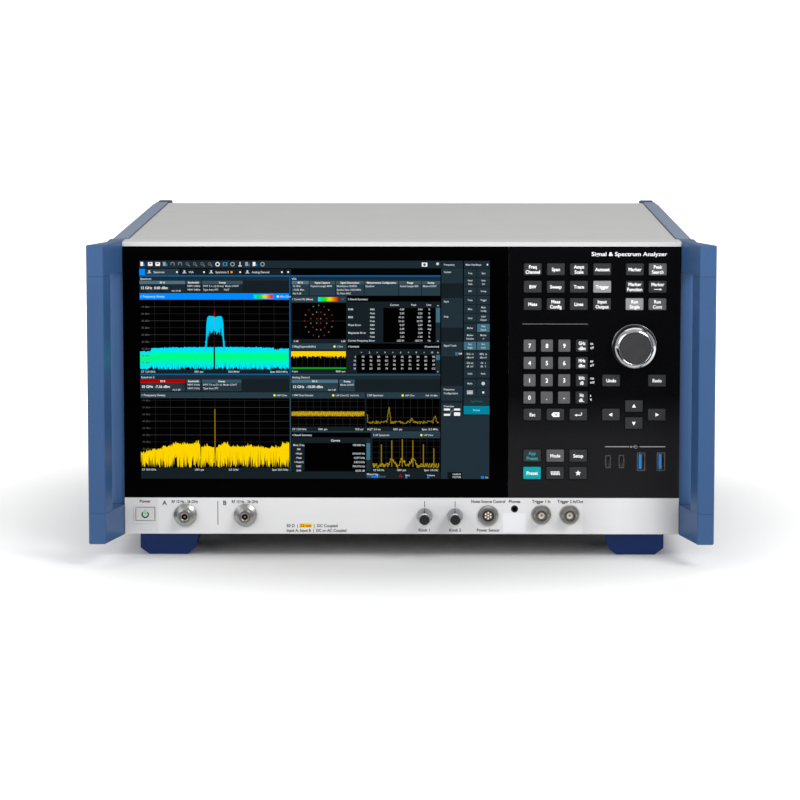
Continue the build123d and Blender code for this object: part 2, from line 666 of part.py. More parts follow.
# ---------------------------------------------------------------------------
# Handles: end blocks, grips and the posts behind them
# ---------------------------------------------------------------------------
HALF_WIDTH = WIDTH / 2
INNER_SLOPE = (HALF_WIDTH - HANDLE_FACE - PANEL_HALF) / HANDLE_REACH
FLARE_FRONT = FRONT_Y + 1.8  # the outer face widens forward from FLARE_BACK to here
FLARE_BACK = PANEL_Y - 11.6


def inner_x(y):
    """The handles' slanted inner face at a given Y."""
    return PANEL_HALF + GAP + INNER_SLOPE * (PANEL_Y - y)


def outer_x(y):
    """The handles' flared outer face at a given Y."""
    share = (FLARE_BACK - y) / (FLARE_BACK - FLARE_FRONT)
    return BLOCK_OUTER + share * (HALF_WIDTH - BLOCK_OUTER)


LOWER_BLOCK = (RAIL_BOTTOM, RAIL_BOTTOM + RAIL_TALL)
UPPER_BLOCK = (RAIL_TOP - RAIL_TALL, RAIL_TOP)
BLOCK_SCREW_Y = (PANEL_Y - 1.5, PANEL_Y + 10.5)
BLOCK_SCREW_BORE = 3.9
BLOCK_SCREW_HEAD = 3.6
BLOCK_SCREW_HOLE = 2.1
BLOCK_SCREW_SHANK = 2.0
BLOCK_SCREW_SINK = 1.8
BLOCK_SCREW_DEPTH = 9.0
FRONT_EDGE = 1.5
BLOCK_EDGE = 1.2
block_outline = [
    (inner_x(PANEL_Y), RAIL_START),
    (inner_x(PANEL_Y), PANEL_Y),
    (inner_x(FRONT_Y), FRONT_Y),
    (HALF_WIDTH, FRONT_Y),
    (HALF_WIDTH, FLARE_FRONT),
    (BLOCK_OUTER, FLARE_BACK),
    (BLOCK_OUTER, RAIL_START),
]
with BuildPart() as handle_end_blocks:
    for z in (LOWER_BLOCK, UPPER_BLOCK):
        prism(block_outline, z)
    upright = handle_end_blocks.edges().filter_by(Axis.Z)
    fillet(upright.group_by(Axis.Y)[0], radius=FRONT_EDGE)
    top_face = handle_end_blocks.faces().sort_by(Axis.Z)[-1]
    bottom_face = handle_end_blocks.faces().sort_by(Axis.Z)[0]
    fillet(top_face.edges() + bottom_face.edges(), radius=BLOCK_EDGE)
    for z in (LOWER_BLOCK, UPPER_BLOCK):
        for y in BLOCK_SCREW_Y:
            middle = sum(z) / 2
            sink = (BLOCK_OUTER - BLOCK_SCREW_SINK, BLOCK_OUTER)
            depth = (BLOCK_OUTER - BLOCK_SCREW_DEPTH, BLOCK_OUTER)
            cross_rod(sink, y, middle, BLOCK_SCREW_BORE, Mode.SUBTRACT)
            cross_rod(depth, y, middle, BLOCK_SCREW_HOLE, Mode.SUBTRACT)
    mirror(about=Plane.YZ)
save(handle_end_blocks, "handle_end_blocks")

GRIP_BACK = FRONT_Y + GRIP_DEPTH
GRIP_JOINT = 0.15  # seam between a grip and its end blocks
GRIP_Z = (LOWER_BLOCK[1] + GRIP_JOINT, UPPER_BLOCK[0] - GRIP_JOINT)
GRIP_BACK_EDGE = 3.0
POST_EDGE = 5.0
with BuildPart() as handle_grips:
    prism(
        [
            (inner_x(FRONT_Y), FRONT_Y),
            (HALF_WIDTH, FRONT_Y),
            (HALF_WIDTH, FLARE_FRONT),
            (outer_x(GRIP_BACK), GRIP_BACK),
            (inner_x(GRIP_BACK), GRIP_BACK),
        ],
        GRIP_Z,
    )
    grip_edges = handle_grips.edges().filter_by(Axis.Z)
    fillet(grip_edges.group_by(Axis.Y)[-1], radius=GRIP_BACK_EDGE)
    fillet(handle_grips.edges().filter_by(Axis.Z).group_by(Axis.Y)[0], radius=FRONT_EDGE)
    mirror(about=Plane.YZ)
save(handle_grips, "handle_grips")

with BuildPart() as handle_posts:
    block((PANEL_HALF + GAP, BLOCK_OUTER), (RAIL_START - POST_DEPTH, RAIL_START - GAP), GRIP_Z)
    fillet(handle_posts.edges().filter_by(Axis.Z).group_by(Axis.Y)[0].sort_by(Axis.X)[-1], radius=POST_EDGE)
    mirror(about=Plane.YZ)
save(handle_posts, "handle_posts")


# ---------------------------------------------------------------------------
# Feet and fold-out legs
# ---------------------------------------------------------------------------
FOOT_TOP = FOOT_HEIGHT - 0.05
FOOT_CORNER_Z = 4.9
FRONT_FOOT_Y = (PANEL_Y + FOOT_SETBACK, PANEL_Y + FOOT_SETBACK + FOOT_LENGTH)
REAR_FOOT_Y = (CASE_BACK - 80.0, CASE_BACK - 25.0)
FOOT_OUTER_SLOPE = 6.6
FOOT_INNER_SLOPE = 9.4
FOOT_INNER_LEAN = 3.8
foot_outline = [
    (FOOT_OUTER, FOOT_TOP),
    (FOOT_OUTER, FOOT_CORNER_Z),
    (FOOT_OUTER - FOOT_OUTER_SLOPE, 0),
    (FOOT_INNER + FOOT_INNER_SLOPE, 0),
    (FOOT_INNER + FOOT_INNER_LEAN, FOOT_CORNER_Z),
    (FOOT_INNER, FOOT_TOP),
]
RECESS_TOP = LEG_HINGE_Z + LEG_THICKNESS / 2 + 1.5
RECESS_FRONT = LEG_HINGE_Y - 7.5  # room for the leg's knuckle and its swing
RECESS_CLEARANCE = 0.4
PIN_SPAN = LEG_WIDTH + 8.0
PIN_END_PLAY = 0.5
LEG_TIP_EDGE = 2.5
with BuildPart() as foot_bases:
    bar(foot_outline, FRONT_FOOT_Y)
    block(
        around(LEG_X, LEG_WIDTH + 2 * RECESS_CLEARANCE),
        (RECESS_FRONT, FRONT_FOOT_Y[1]),
        (0, RECESS_TOP),
        Mode.SUBTRACT,
    )
    cross_rod(
        around(LEG_X, PIN_SPAN + 2 * PIN_END_PLAY),
        LEG_HINGE_Y,
        LEG_HINGE_Z,
        LEG_PIN_RADIUS + SHAFT_CLEARANCE,
        Mode.SUBTRACT,
    )
    bar(foot_outline, REAR_FOOT_Y)
    mirror(about=Plane.YZ)
save(foot_bases, "foot_bases")

for side, label in ((-1, "left_fold_leg"), (1, "right_fold_leg")):
    with BuildPart() as fold_leg:
        block(
            around(side * LEG_X, LEG_WIDTH),
            (LEG_HINGE_Y, LEG_HINGE_Y + LEG_LENGTH),
            around(LEG_HINGE_Z, LEG_THICKNESS),
        )
        fillet(fold_leg.edges().filter_by(Axis.X).group_by(Axis.Y)[-1], radius=LEG_TIP_EDGE)
        cross_rod(around(side * LEG_X, LEG_WIDTH), LEG_HINGE_Y, LEG_HINGE_Z, LEG_THICKNESS / 2)
        cross_rod(around(side * LEG_X, PIN_SPAN), LEG_HINGE_Y, LEG_HINGE_Z, LEG_PIN_RADIUS)
    save(fold_leg, label)


# ---------------------------------------------------------------------------
# Rear: panel, fans, drive tray, mains inlet and switch, sockets
# ---------------------------------------------------------------------------
REAR_Y = (REAR_INNER, CASE_BACK)
INLET_FLANGE_X = (105.0, 186.0)
INLET_FLANGE_Z = around(INLET_Z, 30.0)
INLET_MARGIN = 3.0  # the flange overlaps its panel opening by this much
SWITCH_POCKET = (13.0, 20.6)
SWITCH_POCKET_DEPTH = 14.0
TRAY_CLEARANCE = 0.4
PORT_CLEARANCE = 0.2
SCREW_CLEARANCE = 0.1
REAR_BNC = [(30.0 + 26.0 * column, panel_z(height)) for column in range(6) for height in (176.0, 150.0)]
NETWORK_PORT = (16.2, 13.4)
DISPLAY_PORT = (16.4, 5.6)
DATA_PORT = (13.3, 5.7)
REAR_PORTS = [
    (45.0, *NETWORK_PORT),
    (75.0, *NETWORK_PORT),
    (105.0, *DISPLAY_PORT),
    (135.0, *DATA_PORT),
    (155.0, *DATA_PORT),
]
REAR_PORT_Z = panel_z(112.0)
REAR_SCREWS = [(x, z) for x in (-196.0, -95.0, 5.0, 95.0, 196.0) for z in (panel_z(6.0), panel_z(213.0))]
GRILLE_RINGS = (10.0, 17.5, 25.0, 32.5)
GRILLE_SLOT = 4.6
GRILLE_BRIDGE = 3.0
with BuildPart() as rear_panel:
    block((-COVER_HALF, COVER_HALF), REAR_Y, (FOOT_HEIGHT, COVER_TOP))
    window((TRAY_X, TRAY_Z), (TRAY_WIDTH, TRAY_TALL), REAR_Y, TRAY_CLEARANCE)
    block(
        (INLET_FLANGE_X[0] + INLET_MARGIN, INLET_FLANGE_X[1] - INLET_MARGIN),
        REAR_Y,
        (INLET_FLANGE_Z[0] + INLET_MARGIN, INLET_FLANGE_Z[1] - INLET_MARGIN),
        Mode.SUBTRACT,
    )
    for x, z in REAR_BNC:
        rod(x, z, BNC_BODY_RADIUS, REAR_Y, Mode.SUBTRACT)
    for x, width, tall in REAR_PORTS:
        window((x, REAR_PORT_Z), (width, tall), REAR_Y, PORT_CLEARANCE)
    for x, z in REAR_SCREWS:
        rod(x, z, SCREW_SHANK + SCREW_CLEARANCE, REAR_Y, Mode.SUBTRACT)
    # Fan grilles: rings of slots with four bridges.
    for x in FAN_X:
        for radius in reversed(GRILLE_RINGS):
            rod(x, FAN_Z, radius + GRILLE_SLOT / 2, REAR_Y, Mode.SUBTRACT)
            with Locations(Location((x, sum(REAR_Y) / 2, FAN_Z), (90, 0, 0))):
                Cylinder(radius - GRILLE_SLOT / 2, SHEET)
        for angle in (45, 135):
            with Locations(Location((x, sum(REAR_Y) / 2, FAN_Z), (0, angle, 0))):
                Box(2 * FAN_BORE_RADIUS, SHEET, GRILLE_BRIDGE)
save(rear_panel, "rear_panel")

FAN_BACK = REAR_INNER - 0.3
FAN_Y = (FAN_BACK - FAN_DEPTH, FAN_BACK)
SPOKE = 4.0
SPOKE_DEPTH = 3.0
SPOKE_ROOTS = 1.0  # the spokes run this much into the frame
with BuildPart() as fan_frames:
    for x in FAN_X:
        block(around(x, FAN_SIZE), FAN_Y, around(FAN_Z, FAN_SIZE))
        rod(x, FAN_Z, FAN_BORE_RADIUS, FAN_Y, Mode.SUBTRACT)
        for angle in (0, 60, 120):
            with Locations(Location((x, FAN_Y[0] + SPOKE_DEPTH / 2, FAN_Z), (0, angle, 0))):
                Box(2 * FAN_BORE_RADIUS + SPOKE_ROOTS, SPOKE_DEPTH, SPOKE)
        rod(x, FAN_Z, FAN_HUB_RADIUS, (FAN_Y[0], FAN_Y[0] + SPOKE_DEPTH))
        rod(x, FAN_Z, FAN_SHAFT_RADIUS + SHAFT_CLEARANCE, (FAN_Y[0], FAN_Y[0] + SPOKE_DEPTH), Mode.SUBTRACT)
save(fan_frames, "fan_frames")

ROTOR_Y = (FAN_Y[0] + SPOKE_DEPTH + 1.0, FAN_Y[1] - 1.5)
FAN_SHAFT_START = FAN_Y[0] + 0.5
BLADE_PITCH = 38.0
BLADE_SHEET = 1.6
BLADE_CHORD = 19.0
BLADE_TIP = FAN_BORE_RADIUS - 2.5
BLADE_ROOT = FAN_HUB_RADIUS - 2.0
BLADE_MIDDLE = (BLADE_ROOT + BLADE_TIP) / 2
for number, x in enumerate(FAN_X, start=1):
    with BuildPart() as fan_rotor:
        rod(x, FAN_Z, FAN_HUB_RADIUS, ROTOR_Y)
        rod(x, FAN_Z, FAN_SHAFT_RADIUS, (FAN_SHAFT_START, ROTOR_Y[0]))
        for index in range(FAN_BLADES):
            # Each blade lies along its own radius and is pitched about it.
            spin = Location((x, sum(ROTOR_Y) / 2, FAN_Z), (0, 360.0 / FAN_BLADES * index, 0))
            pitch = Location((BLADE_MIDDLE, 0, 0), (BLADE_PITCH, 0, 0))
            with Locations(spin * pitch):
                Box(BLADE_TIP - BLADE_ROOT, BLADE_SHEET, BLADE_CHORD)
    save(fan_rotor, f"fan_rotor_{number}")

TRAY_JOINT = 0.1
TRAY_FACE_Y = (CASE_BACK + TRAY_JOINT, CASE_BACK + TRAY_JOINT + SHEET)
TRAY_FACE = (84.0, 20.0)
PULL_WIDTH = 50.0
PULL_REACH = 9.0
PULL_TALL = 2.4
PULL_RISE = 3.0  # over the middle of the tray
PULL_CORNER = 4.0
with BuildPart() as drive_tray:
    block(
        around(TRAY_X, TRAY_WIDTH),
        (CASE_BACK - TRAY_LENGTH, TRAY_FACE_Y[0]),
        around(TRAY_Z, TRAY_TALL),
    )
    block(around(TRAY_X, TRAY_FACE[0]), TRAY_FACE_Y, around(TRAY_Z, TRAY_FACE[1]))
    # Pull lip across the face.
    block(
        around(TRAY_X, PULL_WIDTH),
        (TRAY_FACE_Y[1], TRAY_FACE_Y[1] + PULL_REACH),
        around(TRAY_Z + PULL_RISE, PULL_TALL),
    )
    fillet(drive_tray.edges().filter_by(Axis.Z).group_by(Axis.Y)[-1], radius=PULL_CORNER)
save(drive_tray, "drive_tray")

FLANGE_Y = (CASE_BACK, CASE_BACK + 2.0)
PIVOT_Y = FLANGE_Y[1] - SWITCH_DEPTH
FLANGE_CORNER = 2.0
INLET_BODY_MARGIN = INLET_MARGIN + GAP
INLET_FLOOR = 2.0
BLADE_SECTION = (2.0, 4.0)
BLADE_SETBACK = 6.5
BLADE_ROOT_DEPTH = 1.0
BLADE_CENTRES = ((-7.0, -2.0), (0.0, 2.0), (7.0, -2.0))  # live, earth, neutral about the well's middle
PIN_BORE_SPAN = SWITCH_POCKET[0] + 4.0
with BuildPart() as mains_inlet:
    block(INLET_FLANGE_X, FLANGE_Y, INLET_FLANGE_Z)
    fillet(mains_inlet.edges().filter_by(Axis.Y), radius=FLANGE_CORNER)
    block(
        (INLET_FLANGE_X[0] + INLET_BODY_MARGIN, INLET_FLANGE_X[1] - INLET_BODY_MARGIN),
        (FLANGE_Y[1] - INLET_DEPTH - INLET_FLOOR, FLANGE_Y[0]),
        (INLET_FLANGE_Z[0] + INLET_BODY_MARGIN, INLET_FLANGE_Z[1] - INLET_BODY_MARGIN),
    )
    window((INLET_X, INLET_Z), INLET_OPENING, (FLANGE_Y[1] - INLET_DEPTH, FLANGE_Y[1]))
    window((SWITCH_X, INLET_Z), SWITCH_POCKET, (FLANGE_Y[1] - SWITCH_POCKET_DEPTH, FLANGE_Y[1]))
    # Three contact blades stand in the well.
    for x, z in BLADE_CENTRES:
        block(
            around(INLET_X + x, BLADE_SECTION[0]),
            (FLANGE_Y[1] - INLET_DEPTH - BLADE_ROOT_DEPTH, FLANGE_Y[1] - BLADE_SETBACK),
            around(INLET_Z + z, BLADE_SECTION[1]),
        )
    cross_rod(
        around(SWITCH_X, PIN_BORE_SPAN),
        PIVOT_Y,
        INLET_Z,
        SWITCH_PIN_RADIUS + SHAFT_CLEARANCE,
        Mode.SUBTRACT,
    )
save(mains_inlet, "mains_inlet")

ROCKER_HALF = 9.0
ROCKER_EDGE = 6.0
ROCKER_WAIST = 4.8
ROCKER_SIDE = 3.0
ROCKER_HEEL = (-4.0, 5.0)
# The rocker's side outline, as (outward, along) points about its pivot.
rocker_outline = [
    (ROCKER_EDGE, -ROCKER_HALF),
    (ROCKER_WAIST, 0.0),
    (ROCKER_EDGE, ROCKER_HALF),
    (ROCKER_SIDE, ROCKER_HALF),
    (ROCKER_HEEL[0], ROCKER_HEEL[1]),
    (ROCKER_HEEL[0], -ROCKER_HEEL[1]),
    (ROCKER_SIDE, -ROCKER_HALF),
]
tilt = radians(SWITCH_TILT)
tilted_outline = [
    (PIVOT_Y + out * cos(tilt) - along * sin(tilt), INLET_Z + out * sin(tilt) + along * cos(tilt))
    for out, along in rocker_outline
]
ROCKER_WIDTH = SWITCH_POCKET[0] - 1.0
with BuildPart() as mains_switch:
    with BuildSketch(Plane.YZ.offset(SWITCH_X - ROCKER_WIDTH / 2)):
        with BuildLine():
            Polyline(*tilted_outline, close=True)
        make_face()
    extrude(amount=ROCKER_WIDTH)
    cross_rod(around(SWITCH_X, PIN_BORE_SPAN - 2 * PIN_END_PLAY), PIVOT_Y, INLET_Z, SWITCH_PIN_RADIUS)
save(mains_switch, "mains_switch")

PORT_FACE = CASE_BACK + 0.5
PORT_DEPTH = REAR_INNER - 14.0
PORT_FLOOR = REAR_INNER - 10.0
PORT_SHELL = 0.8
PORT_TONGUE = 1.2
PORT_TONGUE_MARGIN = 2.0
with BuildPart() as rear_sockets:
    for x, z in REAR_BNC:
        turned(x, z, bnc_profile(CASE_BACK, 1, PORT_FLOOR))
    for x, width, tall in REAR_PORTS:
        block(around(x, width), (PORT_DEPTH, PORT_FACE), around(REAR_PORT_Z, tall))
        window((x, REAR_PORT_Z), (width - 2 * PORT_SHELL, tall - 2 * PORT_SHELL), (PORT_FLOOR, PORT_FACE))
        block(
            around(x, width - 2 * PORT_TONGUE_MARGIN),
            (PORT_FLOOR - PORT_SHELL, REAR_INNER),
            around(REAR_PORT_Z, PORT_TONGUE),
        )
save(rear_sockets, "rear_sockets")

SCREW_HEAD_TALL = 1.6
SCREW_TAIL = 4.0
BUMPER_HEAD_TALL = 4.0
BUMPER_HEAD_CLEARANCE = 0.4
SCREW_END_GAP = 2.0  # left beyond the tip of a bumper screw
with BuildPart() as screws:
    for x, z in REAR_SCREWS:
        rod(x, z, SCREW_HEAD, (CASE_BACK, CASE_BACK + SCREW_HEAD_TALL))
        rod(x, z, SCREW_SHANK, (REAR_INNER - SCREW_TAIL, CASE_BACK))
    bumper_seat = BACK_Y - BUMPER_BORE_DEPTH
    bumper_tip = CASE_BACK - BUMPER_SCREW_DEPTH + SCREW_END_GAP
    block_head = (BLOCK_OUTER - BLOCK_SCREW_SINK, BLOCK_OUTER - GAP)
    block_shank = (BLOCK_OUTER - BLOCK_SCREW_DEPTH + GAP, BLOCK_OUTER - BLOCK_SCREW_SINK)
    for side in (-1, 1):
        for z in (sum(LOWER_BLOCK) / 2, sum(UPPER_BLOCK) / 2):
            head_radius = BUMPER_BORE - BUMPER_HEAD_CLEARANCE
            rod(side * BUMPER_SCREW_X, z, head_radius, (bumper_seat, bumper_seat + BUMPER_HEAD_TALL))
            rod(side * BUMPER_SCREW_X, z, BUMPER_SCREW_HOLE - SCREW_CLEARANCE, (bumper_tip, bumper_seat))
            for y in BLOCK_SCREW_Y:
                cross_rod(sorted(side * limit for limit in block_head), y, z, BLOCK_SCREW_HEAD)
                cross_rod(sorted(side * limit for limit in block_shank), y, z, BLOCK_SCREW_SHANK)
save(screws, "screws")


# ---------------------------------------------------------------------------
# Inside
# ---------------------------------------------------------------------------
CHASSIS_SHEET = 1.5
CHASSIS_GAP = 0.3
CHASSIS_Y = (COVER_FRONT + CHASSIS_GAP, REAR_INNER - 1.0)
CHASSIS_Z = (FOOT_HEIGHT + SHEET + CHASSIS_GAP, COVER_TOP - SHEET - CHASSIS_GAP)
CHASSIS_HALF = COVER_HALF - SHEET - CHASSIS_GAP
DIVIDER_X = 82.0  # wall between the measuring modules and the power supply
DIVIDER_BACK = REAR_INNER - 40.0
with BuildPart() as chassis:
    block((-CHASSIS_HALF, CHASSIS_HALF), CHASSIS_Y, (CHASSIS_Z[0], CHASSIS_Z[0] + CHASSIS_SHEET))
    for side in (-1, 1):
        wall = sorted((side * CHASSIS_HALF, side * (CHASSIS_HALF - CHASSIS_SHEET)))
        block(wall, CHASSIS_Y, CHASSIS_Z)
    block((DIVIDER_X, DIVIDER_X + CHASSIS_SHEET), (CHASSIS_Y[0], DIVIDER_BACK), CHASSIS_Z)
    # Cooling windows in both side walls.
    for y in SLOT_FIELDS_Y:
        block(
            (-COVER_HALF, COVER_HALF),
            around(y, SLOT_PITCH * SLOTS_PER_ROW),
            around(sum(SIDE_Z) / 2, SLOT_ROW_PITCH * SLOT_ROWS),
            Mode.SUBTRACT,
        )
save(chassis, "chassis")

FLOOR_Z = CHASSIS_Z[0] + CHASSIS_SHEET + GAP
MODULE_FRONT = PANEL_Y + 45.0
MODULE_CORNER = 2.0
LOWER_MODULES_X = ((-198.0, -104.0), (-100.0, -12.0), (-8.0, 76.0))
LOWER_MODULE_BACK = 40.0
LOWER_MODULE_Z = (FLOOR_Z, FLOOR_Z + 34.0)
UPPER_MODULES_X = ((-198.0, -62.0), (-58.0, 76.0))
UPPER_MODULE_BACK = 20.0
UPPER_MODULE_Z = (FLOOR_Z + 38.0, FLOOR_Z + 66.0)
with BuildPart() as rf_modules:
    for x in LOWER_MODULES_X:
        block(x, (MODULE_FRONT, LOWER_MODULE_BACK), LOWER_MODULE_Z)
    for x in UPPER_MODULES_X:
        block(x, (MODULE_FRONT, UPPER_MODULE_BACK), UPPER_MODULE_Z)
    chamfer(rf_modules.edges().filter_by(Axis.Z), length=MODULE_CORNER)
save(rf_modules, "rf_modules")

BOARD_Z = FLOOR_Z + 72.0
BOARD_TOP = BOARD_Z + BOARD_SHEET
BOARD_X = (-198.0, 76.0)
BOARD_BACK = 150.0
SINK_X = (-70.0, -10.0)
SINK_Y = (-60.0, 0.0)
SINK_BASE_TOP = BOARD_Z + 14.0
SINK_TOP = BOARD_Z + 34.0
SINK_FINS = 8
SINK_FIRST_FIN = -68.0
SINK_FIN_PITCH = 8.0
SINK_FIN_SHEET = 1.6
CARD_X = (-150.0, -20.0)
CARDS_Y = (30.0, 42.0, 54.0)
CARD_SHEET = 3.0
CARD_TOP = BOARD_Z + 30.0
CHIPS_X = (10.0, 30.0, 50.0)
CHIP_Y = 70.0
CHIP_SIDE = 14.0
CHIP_TOP = BOARD_Z + 4.0
with BuildPart() as main_board:
    block(BOARD_X, (MODULE_FRONT, BOARD_BACK), (BOARD_Z, BOARD_TOP))
    block(SINK_X, SINK_Y, (BOARD_TOP, SINK_BASE_TOP))
    for fin in range(SINK_FINS):
        x = SINK_FIRST_FIN + fin * SINK_FIN_PITCH
        block((x, x + SINK_FIN_SHEET), SINK_Y, (SINK_BASE_TOP, SINK_TOP))
    for y in CARDS_Y:
        block(CARD_X, (y, y + CARD_SHEET), (BOARD_TOP, CARD_TOP))
    for x in CHIPS_X:
        block((x, x + CHIP_SIDE), (CHIP_Y, CHIP_Y + CHIP_SIDE), (BOARD_TOP, CHIP_TOP))
save(main_board, "main_board")

SUPPLY_X = (96.0, 198.0)
SUPPLY_Y = (30.0, 196.0)
SUPPLY_TALL = 86.0
with BuildPart() as power_supply:
    block(SUPPLY_X, SUPPLY_Y, (FLOOR_Z, FLOOR_Z + SUPPLY_TALL))
    chamfer(power_supply.edges().filter_by(Axis.Z), length=MODULE_CORNER)
save(power_supply, "power_supply")
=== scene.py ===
"""Looks of a bench spectrum analyzer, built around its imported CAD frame.

Lengths in the tables and in the helpers' arguments are millimetres in the CAD frame. Angles are degrees.
"""

import math
import random

import bmesh
import bpy
from mathutils import Matrix, Vector


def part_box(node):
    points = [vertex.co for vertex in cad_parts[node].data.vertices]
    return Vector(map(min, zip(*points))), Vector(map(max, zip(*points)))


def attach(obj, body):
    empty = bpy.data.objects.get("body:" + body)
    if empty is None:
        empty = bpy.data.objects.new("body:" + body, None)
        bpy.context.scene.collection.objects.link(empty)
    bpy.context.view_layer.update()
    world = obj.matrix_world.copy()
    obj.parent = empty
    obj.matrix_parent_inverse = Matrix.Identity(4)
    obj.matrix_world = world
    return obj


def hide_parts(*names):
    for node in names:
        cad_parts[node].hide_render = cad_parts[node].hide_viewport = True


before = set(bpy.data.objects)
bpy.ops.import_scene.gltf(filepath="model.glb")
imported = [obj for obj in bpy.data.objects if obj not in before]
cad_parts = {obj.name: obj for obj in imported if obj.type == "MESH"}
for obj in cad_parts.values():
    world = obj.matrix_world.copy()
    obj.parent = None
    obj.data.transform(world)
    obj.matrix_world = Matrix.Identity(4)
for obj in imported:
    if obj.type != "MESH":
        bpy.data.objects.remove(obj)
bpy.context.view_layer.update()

MM = 0.001
scene = bpy.context.scene

# ---------------------------------------------------------------------------
# Places on the object, taken from the CAD nodes' boxes
# ---------------------------------------------------------------------------


def limits(node):
    """A CAD node's lowest and highest corner in millimetres."""
    low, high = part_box(node)
    return low / MM, high / MM


PANEL_Y = limits("display_glass")[0].y
PANEL_BOTTOM = limits("connector_plate")[0].z



def panel_z(height):
    """Height over the floor of a place measured up from the front panel's lower edge."""
    return PANEL_BOTTOM + height


# ---------------------------------------------------------------------------
# Camera
# ---------------------------------------------------------------------------
camera_data = bpy.data.cameras.new("camera")
camera_data.lens = 157.5
camera_data.sensor_width = 36.0
camera_data.clip_end = 60.0
camera = bpy.data.objects.new("camera", camera_data)
camera.location = (0.0200, -2.8074, 0.4412)
camera.rotation_euler = (math.radians(90 - 7.03), 0.0, math.radians(0.468))
scene.collection.objects.link(camera)
scene.camera = camera


# ---------------------------------------------------------------------------
# Materials
# ---------------------------------------------------------------------------
def linear(value):
    """One 0-255 display value as linear light."""
    share = value / 255
    return share / 12.92 if share <= 0.04045 else ((share + 0.055) / 1.055) ** 2.4


def tint(red, green, blue):
    """A display colour as a linear RGBA value."""
    return (linear(red), linear(green), linear(blue), 1.0)


def scaled(colour, gain):
    return (colour[0] * gain, colour[1] * gain, colour[2] * gain, 1.0)


def new_material(name):
    """An empty node material with its principled shader."""
    made = bpy.data.materials.new(name)
    made.use_nodes = True
    made.node_tree.nodes.clear()
    out = made.node_tree.nodes.new("ShaderNodeOutputMaterial")
    shader = made.node_tree.nodes.new("ShaderNodeBsdfPrincipled")
    made.node_tree.links.new(shader.outputs["BSDF"], out.inputs["Surface"])
    return made, made.node_tree, shader


def noise(tree, scale, detail, stretch=(1, 1, 1)):
    """Noise over the object's own space, at a scale in features per metre."""
    place = tree.nodes.new("ShaderNodeTexCoord")
    mapping = tree.nodes.new("ShaderNodeMapping")
    mapping.inputs["Scale"].default_value = stretch
    tree.links.new(place.outputs["Object"], mapping.inputs["Vector"])
    made = tree.nodes.new("ShaderNodeTexNoise")
    made.inputs["Scale"].default_value = scale
    made.inputs["Detail"].default_value = detail
    made.inputs["Roughness"].default_value = 0.6
    tree.links.new(mapping.outputs["Vector"], made.inputs["Vector"])
    return made.outputs["Fac"]


def ramp(tree, factor, stops):
    """A colour ramp of (position, colour) stops."""
    made = tree.nodes.new("ShaderNodeValToRGB")
    made.color_ramp.elements[0].position = stops[0][0]
    made.color_ramp.elements[0].color = stops[0][1]
    made.color_ramp.elements[1].position = stops[-1][0]
    made.color_ramp.elements[1].color = stops[-1][1]
    for position, colour in stops[1:-1]:
        made.color_ramp.elements.new(position).color = colour
    tree.links.new(factor, made.inputs["Fac"])
    return made.outputs["Color"]


def spread(tree, factor, low, high, start=0.3, stop=0.7):
    """A factor mapped from start..stop to low..high."""
    made = tree.nodes.new("ShaderNodeMapRange")
    made.inputs["From Min"].default_value = start
    made.inputs["From Max"].default_value = stop
    made.inputs["To Min"].default_value = low
    made.inputs["To Max"].default_value = high
    tree.links.new(factor, made.inputs["Value"])
    return made.outputs["Result"]


def bumps(tree, shader, factor, depth):
    """Fine relief of a depth in millimetres."""
    made = tree.nodes.new("ShaderNodeBump")
    made.inputs["Strength"].default_value = 1.0
    made.inputs["Distance"].default_value = depth * MM
    tree.links.new(factor, made.inputs["Height"])
    tree.links.new(made.outputs["Normal"], shader.inputs["Normal"])


def product(tree, first, second):
    """Two colours multiplied."""
    made = tree.nodes.new("ShaderNodeMix")
    made.data_type = "RGBA"
    made.blend_type = "MULTIPLY"
    made.inputs["Factor"].default_value = 1.0
    tree.links.new(first, made.inputs["A"])
    tree.links.new(second, made.inputs["B"])
    return made.outputs["Result"]


def axis_share(tree, axis, first, last):
    """A share from 0 to 1 along one axis of the object's own space, between two places in millimetres."""
    place = tree.nodes.new("ShaderNodeTexCoord")
    axes = tree.nodes.new("ShaderNodeSeparateXYZ")
    tree.links.new(place.outputs["Object"], axes.inputs["Vector"])
    return spread(tree, axes.outputs[axis], 0.0, 1.0, first * MM, last * MM)


def surface(
    name, colour, rough, metal=0.0, mottle=0.05, patch=25.0, grain=2200.0, depth=0.01, stretch=(1, 1, 1), specular=0.5
):
    """A finish with slow colour drift, uneven gloss and a fine grain."""
    made, tree, shader = new_material(name)
    shader.inputs["Metallic"].default_value = metal
    shader.inputs["Specular IOR Level"].default_value = specular
    slow = noise(tree, patch, 4.0, stretch)
    fine = noise(tree, grain, 2.0, stretch)
    stops = [(0.25, scaled(colour, 1 - mottle)), (0.5, colour), (0.78, scaled(colour, 1 + mottle))]
    tree.links.new(ramp(tree, slow, stops), shader.inputs["Base Color"])
    tree.links.new(spread(tree, fine, rough * 0.85, min(1.0, rough * 1.15)), shader.inputs["Roughness"])
    bumps(tree, shader, fine, depth)
    return made


